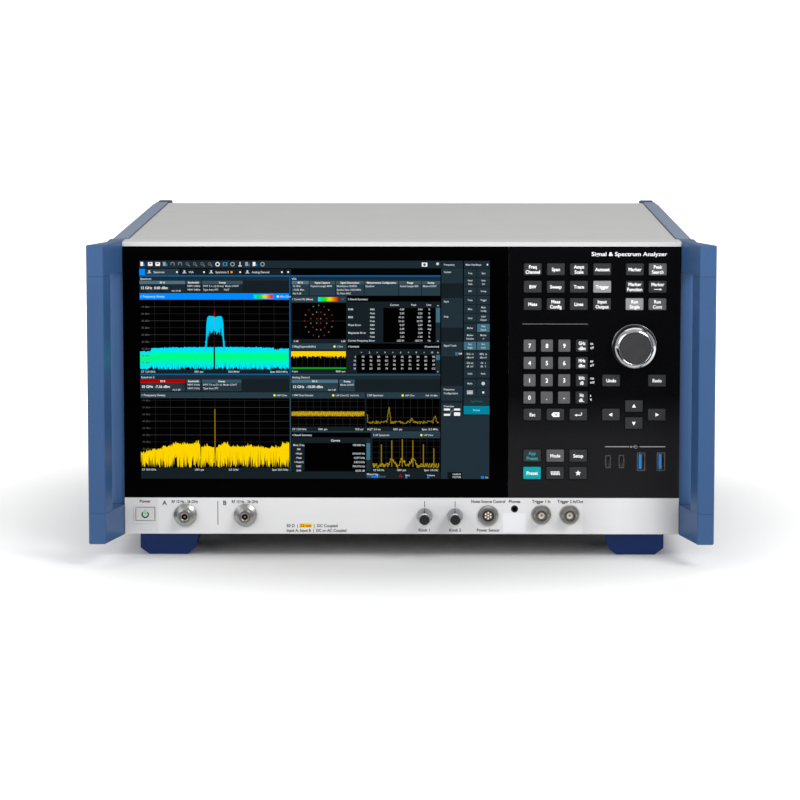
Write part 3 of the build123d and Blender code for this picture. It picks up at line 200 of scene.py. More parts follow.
def painted_reflection_by_height(name, colours, heights, rough, specular):
    """A smooth dark finish with one colour for each height over the floor in millimetres, used for a painted
    reflection that is lighter low down.
    """
    made, tree, shader = new_material(name)
    share = axis_share(tree, "Z", heights[0], heights[-1])
    cloud = noise(tree, 18.0, 3.0)
    nudge = tree.nodes.new("ShaderNodeMath")
    nudge.operation = "MULTIPLY_ADD"
    nudge.inputs[1].default_value = 0.06
    tree.links.new(cloud, nudge.inputs[0])
    tree.links.new(share, nudge.inputs[2])
    span = heights[-1] - heights[0]
    stops = [((height - heights[0]) / span, colour) for height, colour in zip(heights, colours)]
    tree.links.new(ramp(tree, nudge.outputs["Value"], stops), shader.inputs["Base Color"])
    fine = noise(tree, 3200.0, 2.0)
    tree.links.new(spread(tree, fine, rough * 0.8, rough * 1.2), shader.inputs["Roughness"])
    shader.inputs["Specular IOR Level"].default_value = specular
    bumps(tree, shader, fine, 0.002)
    return made


def glowing(name):
    """Lit display dots, coloured face by face."""
    made, tree, shader = new_material(name)
    shader.inputs["Base Color"].default_value = (0.0, 0.0, 0.0, 1.0)
    shader.inputs["Roughness"].default_value = 0.6
    shader.inputs["Specular IOR Level"].default_value = 0.0
    paint = tree.nodes.new("ShaderNodeAttribute")
    paint.attribute_name = "tint"
    dots = noise(tree, 5200.0, 1.0)
    shade = ramp(tree, dots, [(0.3, (0.90, 0.90, 0.92, 1)), (0.7, (1.06, 1.06, 1.04, 1))])
    tree.links.new(product(tree, paint.outputs["Color"], shade), shader.inputs["Emission Color"])
    shader.inputs["Emission Strength"].default_value = 1.0
    return made


def ringed(name, colour, rough, metal, centre, pitch, depth):
    """A lathe-turned face: fine rings about a front-to-back line through a centre (x, z)."""
    made, tree, shader = new_material(name)
    shader.inputs["Metallic"].default_value = metal
    place = tree.nodes.new("ShaderNodeTexCoord")
    mapping = tree.nodes.new("ShaderNodeMapping")
    mapping.inputs["Location"].default_value = (-centre[0] * MM, 0.0, -centre[1] * MM)
    mapping.inputs["Scale"].default_value = (1.0, 0.0, 1.0)
    tree.links.new(place.outputs["Object"], mapping.inputs["Vector"])
    wave = tree.nodes.new("ShaderNodeTexWave")
    wave.wave_type = "RINGS"
    wave.rings_direction = "SPHERICAL"
    wave.inputs["Scale"].default_value = 1 / (20 * pitch * MM)
    wave.inputs["Distortion"].default_value = 0.4
    tree.links.new(mapping.outputs["Vector"], wave.inputs["Vector"])
    slow = noise(tree, 120.0, 2.0)
    stops = [(0.3, scaled(colour, 0.9)), (0.7, scaled(colour, 1.1))]
    tree.links.new(ramp(tree, slow, stops), shader.inputs["Base Color"])
    tree.links.new(spread(tree, wave.outputs["Fac"], rough * 0.8, rough * 1.2, 0, 1), shader.inputs["Roughness"])
    bumps(tree, shader, wave.outputs["Fac"], depth)
    return made


def banded(name, stops, rough):
    """A satin sheet whose tone changes along X, from (X in millimetres, grey value) stops."""
    made, tree, shader = new_material(name)
    first, last = stops[0][0], stops[-1][0]
    share = axis_share(tree, "X", first, last)
    colours = [((x - first) / (last - first), tint(value, value, value + 1)) for x, value in stops]
    base = ramp(tree, share, colours)
    cloud = noise(tree, 30.0, 4.0, (0.1, 1, 1))
    shade = ramp(tree, cloud, [(0.3, (0.97, 0.97, 0.97, 1)), (0.7, (1.02, 1.02, 1.02, 1))])
    tree.links.new(product(tree, base, shade), shader.inputs["Base Color"])
    fine = noise(tree, 1400.0, 2.0, (0.06, 1, 1))
    tree.links.new(spread(tree, fine, rough * 0.85, rough * 1.15), shader.inputs["Roughness"])
    shader.inputs["Specular IOR Level"].default_value = 0.4
    bumps(tree, shader, fine, 0.004)
    return made


def key_rubber(name, colour, specular=0.2):
    return surface(name, colour, 0.5, patch=90.0, grain=2600.0, depth=0.012, specular=specular)


def print_ink(name, colour, rough=0.55, mottle=0.05, specular=0.5):
    return surface(name, colour, rough, mottle=mottle, patch=300.0, grain=4000.0, depth=0.003, specular=specular)


COVER = surface("cover_paint", tint(190, 190, 189), 0.5, mottle=0.03, grain=1500.0, depth=0.02, specular=0.3)
SIDE_COVER = surface("side_paint", tint(176, 177, 178), 0.5, mottle=0.03, grain=1500.0, depth=0.02, specular=0.3)
TRIM = surface("trim_paint", tint(196, 196, 196), 0.45, mottle=0.02, grain=1800.0, depth=0.01, specular=0.3)
# Each plate of the strip has its own grey. On the right-hand plate, the rise to a lighter band near x 162 is a painted
# highlight, and the fall to a darker right end is painted shade.
STRIP_PLATES_AND_LIGHT = banded("strip_plates_and_painted_light", [
    (-208.2, 204), (-183.0, 207), (-182.4, 214), (-60.0, 216), (130.0, 215), (135.1, 213), (135.7, 205), (162.0, 220),
    (188.0, 212), (208.2, 178),
], 0.4)
RAIL = surface("rail_paint", tint(112, 128, 154), 0.42, mottle=0.04, grain=1600.0, depth=0.015, specular=0.35)
HANDLE = surface("handle_paint", tint(50, 84, 128), 0.42, mottle=0.04, grain=1500.0, depth=0.015, specular=0.35)
GRIP = surface("grip_paint", tint(48, 82, 126), 0.44, mottle=0.04, grain=1500.0, depth=0.02, specular=0.35)
BUMPER = surface("bumper_rubber", tint(54, 70, 104), 0.66, mottle=0.06, grain=900.0, depth=0.04, specular=0.15)
FOOT = surface("foot_plastic", tint(2, 44, 104), 0.5, mottle=0.06, grain=900.0, depth=0.04, specular=0.3)
# Painted reflection: the display glass and the keypad fascia are lighter low down and darker higher up.
GLASS_REFLECTION_TONES = [(0.0012, 0.0012, 0.0016, 1), (0.0004, 0.0004, 0.0005, 1), (0.0003, 0.0003, 0.0004, 1)]
GLASS = painted_reflection_by_height("display_glass", GLASS_REFLECTION_TONES, [46, 90, 236], 0.10, specular=0.02)
FASCIA_REFLECTION_TONES = [tint(31, 31, 32), tint(27, 27, 29), tint(6, 6, 9), tint(2, 2, 4)]
FASCIA = painted_reflection_by_height("fascia_satin_painted_reflection", FASCIA_REFLECTION_TONES, [46, 96, 130, 236], 0.26, specular=0.08)
KEY_DARK = key_rubber("key_dark", tint(47, 48, 50))
KEY_UNIT = key_rubber("key_unit", tint(42, 43, 45))
KEY_DIGIT = key_rubber("key_digit", tint(84, 84, 85))
KEY_LIT = key_rubber("key_lit", tint(136, 136, 137))
KEY_TEAL = key_rubber("key_teal", tint(0, 152, 158), specular=0.15)
MAT = surface("silicone_mat", tint(40, 40, 42), 0.7, mottle=0.08, patch=60.0, grain=900.0, depth=0.02)
INK_WHITE = print_ink("print_white", tint(246, 247, 248), mottle=0.02)
INK_GREY = print_ink("print_grey", tint(150, 152, 155), mottle=0.04)
INK_DARK = print_ink("print_dark", tint(38, 39, 43), specular=0.2)
INK_TEAL = print_ink("print_teal", tint(0, 150, 158))
INK_GREEN = print_ink("print_green", tint(40, 205, 112), rough=0.5, specular=0.2)
INK_YELLOW = print_ink("print_yellow", tint(240, 186, 20), rough=0.5, specular=0.2)
LABEL = surface(
    "blank_label", tint(224, 225, 228), 0.5, mottle=0.02, patch=60.0, grain=2400.0, depth=0.003, specular=0.3
)
STEEL = surface(
    "connector_steel", tint(172, 172, 170), 0.3, 0.95, mottle=0.08, patch=200.0, grain=3000.0, depth=0.004
)
NICKEL = surface("socket_nickel", tint(184, 182, 178), 0.3, 0.95, mottle=0.06, patch=160.0, grain=3200.0, depth=0.003)
GOLD = surface("contact_gold", tint(226, 168, 70), 0.3, 0.9, patch=300.0, grain=3200.0, depth=0.002)
INSULATOR = surface("white_insulator", tint(232, 230, 224), 0.5, mottle=0.03, patch=200.0, grain=2000.0, depth=0.004)
SENSOR_FACE = surface(
    "sensor_face", tint(112, 92, 56), 0.45, 0.3, mottle=0.08, patch=200.0, grain=2400.0, depth=0.004
)
BLACK = surface("black_plastic", tint(22, 22, 24), 0.42, mottle=0.08, patch=60.0, grain=1800.0, depth=0.012)
# Painted shade: a near-black fill put inside connector bores and at the back of the wide USB ports, where only shade
# falls.
RECESS_SHADE = surface("painted_recess_shade", tint(6, 6, 7), 0.7, mottle=0.1, patch=60.0, grain=1800.0, depth=0.01, specular=0.1)
BLUE_TONGUE = surface("usb_blue", tint(0, 118, 196), 0.42, mottle=0.06, patch=120.0, grain=2400.0, depth=0.006)
RIM = surface("port_rim", tint(100, 100, 100), 0.4, 0.6, mottle=0.06, patch=160.0, grain=3200.0, depth=0.003)
MODULE = surface("module_metal", tint(170, 172, 176), 0.32, 0.9, patch=30.0, grain=1200.0, stretch=(1, 0.08, 1))
CHASSIS = surface("chassis_zinc", tint(180, 182, 184), 0.36, 0.9, mottle=0.10, patch=40.0, grain=900.0)
BOARD = surface("board_green", tint(24, 92, 58), 0.4, mottle=0.15, patch=220.0, grain=1400.0, depth=0.02)
SCREW = surface("screw_zinc", tint(178, 180, 184), 0.28, 1.0, mottle=0.08, patch=200.0, grain=2600.0, depth=0.006)
FAN = surface("fan_plastic", tint(26, 26, 28), 0.45, mottle=0.08, patch=50.0, grain=1200.0, depth=0.02)
REAR = surface("rear_paint", tint(190, 191, 193), 0.45, mottle=0.03, grain=1500.0, depth=0.02, specular=0.3)
SCREEN = glowing("screen_light")

NODE_FINISH = {
    COVER: ("top_cover", "bottom_cover"),
    SIDE_COVER: ("left_side_panel", "right_side_panel"),
    TRIM: ("front_frame", "power_key"),
    STRIP_PLATES_AND_LIGHT: ("connector_plate",),
    RAIL: ("side_rails",),
    HANDLE: ("handle_end_blocks", "handle_posts"),
    GRIP: ("handle_grips",),
    BUMPER: ("rear_bumpers",),
    FOOT: ("foot_bases", "left_fold_leg", "right_fold_leg"),
    GLASS: ("display_glass",),
    FASCIA: ("keypad_fascia",),
    MODULE: ("lcd_module", "rf_modules", "power_supply"),
    BOARD: ("key_board", "main_board"),
    CHASSIS: ("chassis",),
    REAR: ("rear_panel", "drive_tray"),
    FAN: ("fan_frames", "fan_rotor_1", "fan_rotor_2"),
    BLACK: ("mains_inlet", "mains_switch", "phones_socket"),
    NICKEL: ("rear_sockets", "usb_sockets", "bnc_sockets"),
    SCREW: ("screws",),
    STEEL: ("sensor_socket", "rf_inputs"),
}
for finish, nodes in NODE_FINISH.items():
    for node in nodes:
        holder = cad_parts[node]
        if not holder.material_slots:
            holder.data.materials.append(finish)
        for place in holder.material_slots:
            place.material = finish


# ---------------------------------------------------------------------------
# Mesh helpers
# ---------------------------------------------------------------------------
class Piece:
    """Closed solids gathered into one object, with one material for each kind of face."""

    def __init__(self, name, body, slot, materials):
        self.name = name
        self.body = body
        self.slot = slot
        self.materials = materials
        self.mesh = bmesh.new()
        self.paint = self.mesh.loops.layers.float_color.new("tint")
        self.kind = 0
        self.colour = (1.0, 1.0, 1.0, 1.0)

    def use(self, kind=0, colour=(1.0, 1.0, 1.0, 1.0)):
        """The material number and colour of what is added next."""
        self.kind = kind
        self.colour = colour
        return self

    def face(self, corners):
        made = self.mesh.faces.new(corners)
        made.material_index = self.kind
        for loop in made.loops:
            loop[self.paint] = self.colour
        return made

    def points(self, places):
        return [self.mesh.verts.new(Vector(place) * MM) for place in places]

    def wall(self, near, far):
        """Faces between two rings of equal length."""
        for index in range(len(near)):
            after = (index + 1) % len(near)
            self.face([near[index], near[after], far[after], far[index]])

    def loft(self, rings):
        """A solid through rings of equal length, with both ends filled."""
        rows = [self.points(ring) for ring in rings]
        for near, far in zip(rows, rows[1:]):
            self.wall(near, far)
        self.face(list(reversed(rows[0])))
        self.face(rows[-1])

    def hoop(self, rings):
        """A solid through rings of equal length whose last ring joins the first, open in the middle."""
        rows = [self.points(ring) for ring in rings]
        for near, far in zip(rows, rows[1:] + rows[:1]):
            self.wall(near, far)

    def plate(self, outline, front, back):
        """An (x, z) outline that runs clockwise seen from the front, thick from front back to back."""
        self.loft([[(x, back, z) for x, z in outline], [(x, front, z) for x, z in outline]])

    def box(self, x, y, z):
        self.plate([(x[0], z[1]), (x[1], z[1]), (x[1], z[0]), (x[0], z[0])], y[0], y[1])

    def turned(self, centre, profile, sides):
        """A solid turned about a front-to-back line, from (radius, distance behind the panel face) points."""
        rows = []
        for radius, depth in profile:
            y = PANEL_Y + depth
            if radius == 0:
                rows.append(self.points([(centre[0], y, centre[1])]))
                continue
            ring = []
            for index in range(sides):
                angle = 2 * math.pi * index / sides
                ring.append((centre[0] + radius * math.sin(angle), y, centre[1] + radius * math.cos(angle)))
            rows.append(self.points(ring))
        for near, far in zip(rows, rows[1:]):
            for index in range(sides):
                after = (index + 1) % sides
                if len(near) == 1:
                    self.face([near[0], far[after], far[index]])
                elif len(far) == 1:
                    self.face([near[index], near[after], far[0]])
            if len(near) == len(far):
                self.wall(near, far)

    def printed(self, outline, y):
        """An inked shape of even thickness about a depth y."""
        self.plate(outline, y - INK_HALF, y + INK_HALF)

    def bar(self, x, y, z):
        """An inked rectangle of even thickness about a depth y."""
        self.box(x, (y - INK_HALF, y + INK_HALF), z)

    def band(self, samples, front, back):
        """A strip from (x, top, bottom) samples, thick from front back to back."""
        rings = []
        for x, top, bottom in samples:
            rings.append([(x, front, top), (x, back, top), (x, back, bottom), (x, front, bottom)])
        self.loft(rings)

    def words(self, text, x, z, size, y, align="CENTER", narrow=1.0, weight=0.0, depth=0.03, rear=False):
        """Raised lettering whose capitals are size tall, centred on height z."""
        curve = bpy.data.curves.new("words", "FONT")
        curve.body = text
        curve.size = size * CAPITAL
        curve.align_x = align
        curve.extrude = depth / 2
        curve.offset = weight * size
        curve.resolution_u = 2 if size < 1.4 else 4
        holder = bpy.data.objects.new("words", curve)
        drawn = bpy.data.meshes.new_from_object(holder)
        facing = Matrix.Rotation(math.pi, 4, "Z") if rear else Matrix.Identity(4)
        drawn.transform(
            Matrix.Scale(MM, 4)
            @ Matrix.Translation((x, y, z))
            @ facing
            @ Matrix.Rotation(math.pi / 2, 4, "X")
            @ Matrix.Diagonal((narrow, 1, 1, 1))
            @ Matrix.Translation((0, -size / 2, 0))
        )
        start = len(self.mesh.faces)
        self.mesh.from_mesh(drawn)
        self.mesh.faces.ensure_lookup_table()
        for made in self.mesh.faces[start:]:
            made.material_index = self.kind
            for loop in made.loops:
                loop[self.paint] = self.colour
        bpy.data.meshes.remove(drawn)
        bpy.data.objects.remove(holder)
        bpy.data.curves.remove(curve)

    def build(self, smooth=False, replaces=()):
        bmesh.ops.recalc_face_normals(self.mesh, faces=self.mesh.faces)
        data = bpy.data.meshes.new(self.name)
        self.mesh.to_mesh(data)
        self.mesh.free()
        for material in self.materials:
            data.materials.append(material)
        made = bpy.data.objects.new(self.name, data)
        scene.collection.objects.link(made)
        if smooth:
            data.shade_smooth()
            data.set_sharp_from_angle(angle=math.radians(32))
        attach(made, self.body)
        if replaces:
            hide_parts(*replaces)


CAPITAL = 1.43  # text size over the height of its capitals
INK_HALF = 0.015  # half the thickness of printed ink


def rounded(centre, size, radius, steps=5):
    """A rounded rectangle's (x, z) points, clockwise seen from the front."""
    half = (size[0] / 2 - radius, size[1] / 2 - radius)
    points = []
    for corner, (sx, sz) in enumerate(((1, 1), (1, -1), (-1, -1), (-1, 1))):
        for step in range(steps + 1):
            angle = math.radians(90 * (corner + step / steps))
            points.append(
                (
                    centre[0] + sx * half[0] + radius * math.sin(angle),
                    centre[1] + sz * half[1] + radius * math.cos(angle),
                )
            )
    return points


# ---------------------------------------------------------------------------
# Floor and light
# ---------------------------------------------------------------------------
floor_data = bpy.data.meshes.new("floor")
FLOOR_HALF = 14.0
floor_data.from_pydata(
    [(-FLOOR_HALF, -FLOOR_HALF, 0), (FLOOR_HALF, -FLOOR_HALF, 0), (FLOOR_HALF, FLOOR_HALF, 0),
     (-FLOOR_HALF, FLOOR_HALF, 0)],
    [],
    [(0, 1, 2, 3)],
)
floor = bpy.data.objects.new("floor", floor_data)
floor.location.z = -0.0002
floor_data.materials.append(
    surface(
        "floor_sweep", (0.80, 0.80, 0.80, 1), 0.9, mottle=0.004, patch=3.0, grain=300.0, depth=0.0002, specular=0.0
    )
)
floor_shader = floor_data.materials[0].node_tree.nodes["Principled BSDF"]
floor_shader.inputs["Emission Color"].default_value = (1.0, 1.0, 1.0, 1.0)
floor_tree = floor_data.materials[0].node_tree
floor_place = floor_tree.nodes.new("ShaderNodeTexCoord")
floor_reach = floor_tree.nodes.new("ShaderNodeVectorMath")
floor_reach.operation = "LENGTH"
floor_widen = floor_tree.nodes.new("ShaderNodeVectorMath")
floor_widen.operation = "MULTIPLY"
floor_widen.inputs[1].default_value = (1.35, 1.0, 1.0)
floor_tree.links.new(floor_place.outputs["Object"], floor_widen.inputs[0])
floor_tree.links.new(floor_widen.outputs["Vector"], floor_reach.inputs[0])
floor_glow = spread(floor_tree, floor_reach.outputs["Value"], 0.0, 1.1, 0.25, 0.90)
floor_tree.links.new(floor_glow, floor_shader.inputs["Emission Strength"])
scene.collection.objects.link(floor)

# A dark studio flag that shows only in reflections, so black glass and chrome have something dark to mirror.
flag_data = bpy.data.meshes.new("studio_flag")
flag_data.from_pydata([(-1.6, -3.4, 0.001), (1.6, -3.4, 0.001), (1.6, -0.32, 0.001), (-1.6, -0.32, 0.001)], [],
                      [(0, 1, 2, 3)])
flag = bpy.data.objects.new("studio_flag", flag_data)
flag_data.materials.append(surface("flag_cloth", (0.006, 0.006, 0.009, 1), 0.9, mottle=0.1, specular=0.0))
flag.visible_camera = False
flag.visible_diffuse = False
flag.visible_shadow = False
scene.collection.objects.link(flag)

world = bpy.data.worlds.new("studio")
world.use_nodes = True
world.node_tree.nodes["Background"].inputs["Color"].default_value = (1.0, 1.0, 1.0, 1.0)
world.node_tree.nodes["Background"].inputs["Strength"].default_value = 0.50
scene.world = world

# White surroundings that only the camera sees; they add no light and no reflections.
backdrop_mesh = bmesh.new()
bmesh.ops.create_icosphere(backdrop_mesh, subdivisions=4, radius=19.0)
backdrop_data = bpy.data.meshes.new("backdrop")
backdrop_mesh.to_mesh(backdrop_data)
backdrop_mesh.free()
backdrop = bpy.data.objects.new("backdrop", backdrop_data)
backdrop_data.materials.append(surface("backdrop_white", (0, 0, 0, 1), 1.0, specular=0.0))
backdrop_shader = backdrop_data.materials[0].node_tree.nodes["Principled BSDF"]
backdrop_shader.inputs["Emission Color"].default_value = (1.0, 1.0, 1.0, 1.0)
backdrop_shader.inputs["Emission Strength"].default_value = 1.1
backdrop.visible_diffuse = False
backdrop.visible_glossy = False
backdrop.visible_transmission = False
backdrop.visible_shadow = False
scene.collection.objects.link(backdrop)


def softbox(name, place, target, size, power):
    """A rectangular area light aimed at a point."""
    lamp = bpy.data.lights.new(name, "AREA")
    lamp.shape = "RECTANGLE"
    lamp.size, lamp.size_y = size
    lamp.energy = power
    holder = bpy.data.objects.new(name, lamp)
    holder.location = place
    holder.rotation_euler = (Vector(target) - Vector(place)).to_track_quat("-Z", "Y").to_euler()
    scene.collection.objects.link(holder)


softbox("key_light", (1.15, -1.75, 1.45), (0, -0.2, 0.1), (0.9, 0.7), 24.0)
softbox("fill_light", (-1.5, -2.0, 1.1), (0, -0.2, 0.12), (1.4, 1.2), 16.0)
softbox("top_light", (0.0, 0.2, 2.2), (0, 0.0, 0.1), (2.2, 1.8), 12.0)

scene.view_settings.view_transform = "Standard"
scene.view_settings.look = "None"
scene.view_settings.exposure = 0.0
scene.view_settings.gamma = 1.0

# ---------------------------------------------------------------------------
# Display image: (u, v) run right and down from the picture's top left corner
# ---------------------------------------------------------------------------
SCREEN_LEFT = -195.6
SCREEN_TOP = panel_z(206.1)
LAYER = 0.02

BLACK_UI = tint(2, 2, 3)
SLATE = tint(35, 50, 58)
SLATE_DARK = tint(24, 33, 38)
SLATE_BAR = tint(30, 44, 52)
SLATE_MID = tint(42, 60, 70)
SLATE_PALE = tint(78, 112, 132)
SLATE_BAND = tint(56, 84, 98)
EDGE_BLUE = tint(20, 92, 150)
BRIGHT_BLUE = tint(0, 140, 255)
PANE_EDGE = tint(46, 78, 94)
RED = tint(180, 0, 0)
YELLOW = tint(255, 214, 0)
AMBER = tint(150, 120, 8)
DOT_YELLOW = tint(236, 255, 70)
CYAN = tint(0, 232, 255)
SPRING = tint(0, 255, 120)
GREEN = tint(24, 160, 34)
GRID = tint(38, 38, 38)
GRID_BRIGHT = tint(62, 62, 62)
TEXT = tint(205, 212, 216)
TEXT_DIM = tint(110, 116, 120)
WHITE = tint(244, 246, 248)
TEAL = tint(0, 134, 160)
TEAL_DIM = tint(6, 108, 112)
HIGHLIGHT = tint(64, 110, 128)

image = Piece("screen_image", "case", "screen_glass", [SCREEN])


def depth_of(layer):
    """Front and back Y of a layer of the display image."""
    back = PANEL_Y - 0.01 - LAYER * layer
    return back - LAYER * 0.7, back


def at(u, v):
    return SCREEN_LEFT + u, SCREEN_TOP - v


def area(colour, u0, v0, u1, v1, layer=1):
    front, back = depth_of(layer)
    left, top = at(u0, v0)
    right, bottom = at(u1, v1)
    image.use(0, colour).box((left, right), (front, back), (bottom, top))


def note(text, u, v, size, colour=TEXT, layer=4, align="LEFT", narrow=1.0):
    front, back = depth_of(layer)
    x, z = at(u, v)
    y = (front + back) / 2
    image.use(0, colour).words(text, x, z, size, y, align, narrow=narrow, weight=0.025, depth=LAYER * 0.7)


def dot(colour, u, v, radius, layer=4, sides=14):
    front, back = depth_of(layer)
    x, z = at(u, v)
    ring = [
        (x + radius * math.sin(2 * math.pi * index / sides), z + radius * math.cos(2 * math.pi * index / sides))
        for index in range(sides)
    ]
    image.use(0, colour).plate(ring, front, back)


def filled(colour, samples, layer):
    """A filled trace from (u, top, bottom) samples."""
    front, back = depth_of(layer)
    points = [(at(u, top)[0], at(u, top)[1], at(u, bottom)[1]) for u, top, bottom in samples]
    image.use(0, colour).band(points, front, back)


def trace(colour, samples, layer, pen=0.45):
    """A drawn line through (u, v) samples."""
    drawn = []
    for (u0, v0), (u1, v1) in zip(samples, samples[1:]):
        drawn.append((u0, min(v0, v1) - pen / 2, max(v0, v1) + pen / 2))
        drawn.append((u1 - 0.001, min(v0, v1) - pen / 2, max(v0, v1) + pen / 2))
    filled(colour, drawn, layer)


def grid(u0, v0, u1, v1, columns, rows):
    for u in columns:
        area(GRID, u - 0.12, v0, u + 0.12, v1, 3)
    for v in rows:
        area(GRID, u0, v - 0.12, u1, v + 0.12, 3)


def rainbow(u0, v0, u1, v1):
    """A colour scale from cyan by green and yellow to red."""
    stops = [CYAN, tint(0, 225, 40), tint(60, 230, 0), tint(240, 220, 0), tint(240, 120, 0), tint(230, 10, 0)]
    cells = 20
    for cell in range(cells):
        place = cell / (cells - 1) * (len(stops) - 1)
        low = min(int(place), len(stops) - 2)
        share = place - low
        colour = tuple(stops[low][c] * (1 - share) + stops[low + 1][c] * share for c in range(4))
        step = (u1 - u0) / cells
        area(colour, u0 + cell * step, v0, u0 + (cell + 1) * step - 0.005, v1, 3)


rng = random.Random(11)
SCREEN_WIDE, SCREEN_TALL = 261.4, 164.2
area(tint(3, 4, 5), 0, 0, SCREEN_WIDE, SCREEN_TALL, 0)

# Tool bar with its icons, and the row of tabs.
area(SLATE_BAR, 0, 0, 225, 5.6)
icon_u = 2.6
for index in range(17):
    pale = tint(150, 160, 168)
    if index in (0, 1, 2, 10, 13, 15):
        pale = WHITE
    elif index in (4, 5, 6, 7, 8, 9):
        pale = TEXT_DIM
    left = icon_u - 1.7
    if index in (1, 2, 11):
        area(pale if index != 11 else tint(60, 130, 180), left, 1.2, left + 3.4, 4.0, 2)
        area(SLATE_BAR, left + 0.9, 1.7, left + 2.4, 2.5 if index != 11 else 3.5, 3)
    elif index in (0, 3, 14, 15):
        area(pale, left, 1.0, left + 2.0, 4.0, 2)
        area(tint(20, 110, 190), left + 2.2, 2.2, left + 3.4, 4.2, 2)
    elif index in (4, 5):
        trace(pale, [(left, 3.2), (left + 0.8, 1.6), (left + 1.6, 1.2), (left + 2.4, 1.8), (left + 3.2, 3.6)], 2, 0.5)
    elif index in (6, 7, 8, 9):
        dot(pale, icon_u - 0.4, 2.4, 1.2, 2)
        dot(SLATE_BAR, icon_u - 0.4, 2.4, 0.75, 3)
        trace(pale, [(icon_u + 0.4, 3.2), (icon_u + 1.1, 3.8), (icon_u + 1.6, 4.3)], 2, 0.5)
    elif index == 13:
        area(pale, icon_u - 0.3, 1.0, icon_u + 0.3, 3.2, 2)
        area(pale, icon_u - 1.2, 3.6, icon_u + 1.2, 4.3, 2)
    else:
        dot(pale, icon_u, 2.7, 1.7, 2)
        dot(SLATE_BAR, icon_u, 2.7, 1.05, 3)
    icon_u += 5.58
area(WHITE, 210.6, 1.4, 214.7, 4.4, 2)
dot(SLATE_BAR, 212.6, 2.9, 0.95, 3)
dot(TEXT, 222.4, 2.3, 1.1, 2)
area(BRIGHT_BLUE, 0, 6.2, 4.2, 11.2)
TABS = [(4.4, 29.8, SLATE_MID), (30.6, 50.0, SLATE_DARK), (50.6, 77.0, SLATE_DARK), (77.6, 108.1, SLATE_DARK),
        (108.8, 113.2, SLATE_DARK)]
for (left, right, colour), label in zip(TABS, ("Spectrum", "VSA", "Spectrum 2", "Analog Demod", "")):
    area(colour, left, 6.2, right, 10.8)
    if label:
        note(label, left + 6.2, 8.6, 1.5)
        bell = [(left + 1.6, 9.4), (left + 2.4, 9.2), (left + 3.0, 7.4), (left + 3.6, 9.2), (left + 4.4, 9.4)]
        trace(TEXT, bell, 3, 0.35)
        area(WHITE, right - 2.3, 8.0, right - 1.2, 9.2, 2)
dot(tint(255, 160, 20), 68.8, 8.6, 0.85)
area(WHITE, 110.4, 7.9, 111.6, 9.1, 2)
area(EDGE_BLUE, 0, 10.9, 224.5, 12.0, 2)


def heading(text, u0, v0, u1):
    """A pane's title line."""
    area(SLATE_BAR, u0, v0, u1, v0 + 2.9)
    note(text, u0 + 0.6, v0 + 1.5, 1.5)


def info_box(u0, v0, u1, v1, title, lines, band=SLATE_BAND):
    """A read-out box: a titled band over lines of values."""
    area(SLATE_MID, u0, v0, u1, v1)
    area(band, u0, v0, u1, v0 + 2.5, 2)
    note(title, (u0 + u1) / 2, v0 + 1.3, 1.35, WHITE, align="CENTER")
    for row, line in enumerate(lines):
        note(line, u0 + 0.7, v0 + 3.9 + 2.75 * row, 1.3)


def plot_labels(v, left, centre, right_centre, right, u0, u1):
    span = u1 - u0
    note(left, u0 + 0.6, v, 1.4, TEXT)
    note(centre, u0 + span * 0.36, v, 1.4, TEXT)
    if right_centre:
        note(right_centre, u0 + span * 0.59, v, 1.4, TEXT)
    note(right, u1 - 1.2, v, 1.4, TEXT, align="RIGHT")


# Upper left: spectrum with a cyan noise floor and a wide carrier.
PANE_RIGHT = 111.6
heading("Spectrum", 0, 12.1, PANE_RIGHT)
area(SLATE_DARK, 0, 15.0, PANE_RIGHT, 24.2)
info_box(0, 15.1, 34.2, 23.9, "RF A", [], SLATE_PALE)
note("12 GHz  0.00 dBm", 0.8, 20.4, 1.9, WHITE)
note("Att 10 dB", 24.0, 22.6, 1.2)
info_box(35.0, 15.1, 45.6, 23.9, "Bandwidth", ["RBW 2 MHz", "VBW 2 MHz"])
info_box(46.7, 15.1, 77.0, 23.9, "Sweep", ["SWT 2.1 s (2.24 ms)  Mode CONT", "Type Auto FFT        FAST"])
area(BRIGHT_BLUE, 0, 24.4, PANE_RIGHT, 29.2)
note("1 Frequency Sweep", 0.6, 26.8, 1.6, tint(170, 220, 255))
rainbow(85.2, 25.4, 99.5, 28.3)
dot(DOT_YELLOW, 103.2, 26.8, 0.85)
note("1Rm Clrw", 104.6, 26.8, 1.4, tint(190, 225, 255))
area(BLACK_UI, 0, 29.4, PANE_RIGHT, 81.8)
plot_columns = [11.15 * k for k in range(1, 10)]
grid(0, 29.4, PANE_RIGHT, 81.6, plot_columns, [])
for k in range(9):
    v = 34.6 + 5.24 * k
    area(GRID_BRIGHT if k % 2 == 0 else GRID, 6.2, v - 0.12, PANE_RIGHT, v + 0.12, 3)
    note(f"-{10 * (k + 1)} dBm", 0.8, v, 1.3, tint(84, 86, 88), 14 if k > 5 else 4)
step = 0.42
floor_samples = []
count = int(PANE_RIGHT / step)
for index in range(count + 1):
    u = min(index * step, PANE_RIGHT - 0.05)
    base = 68.4 if u < 8.4 else 66.0 - 0.9 * math.sin((u - 8) / 34) if u < 100 else 67.0
    if u > 104:
        base = 66.2
    top = base - abs(rng.gauss(0, 0.35))
    bottom = 81.6 - (rng.random() ** 3) * 2.6
    if 6.4 < u < 9.6:
        bottom = 81.6 - 4.6 * (1 - abs(u - 8.0) / 1.6) - 0.4
    if 101.4 < u < 104.2:
        bottom = 81.6 - 3.6 * (1 - abs(u - 102.8) / 1.4)
    floor_samples.append((u, top, bottom))
filled(CYAN, floor_samples, 4)
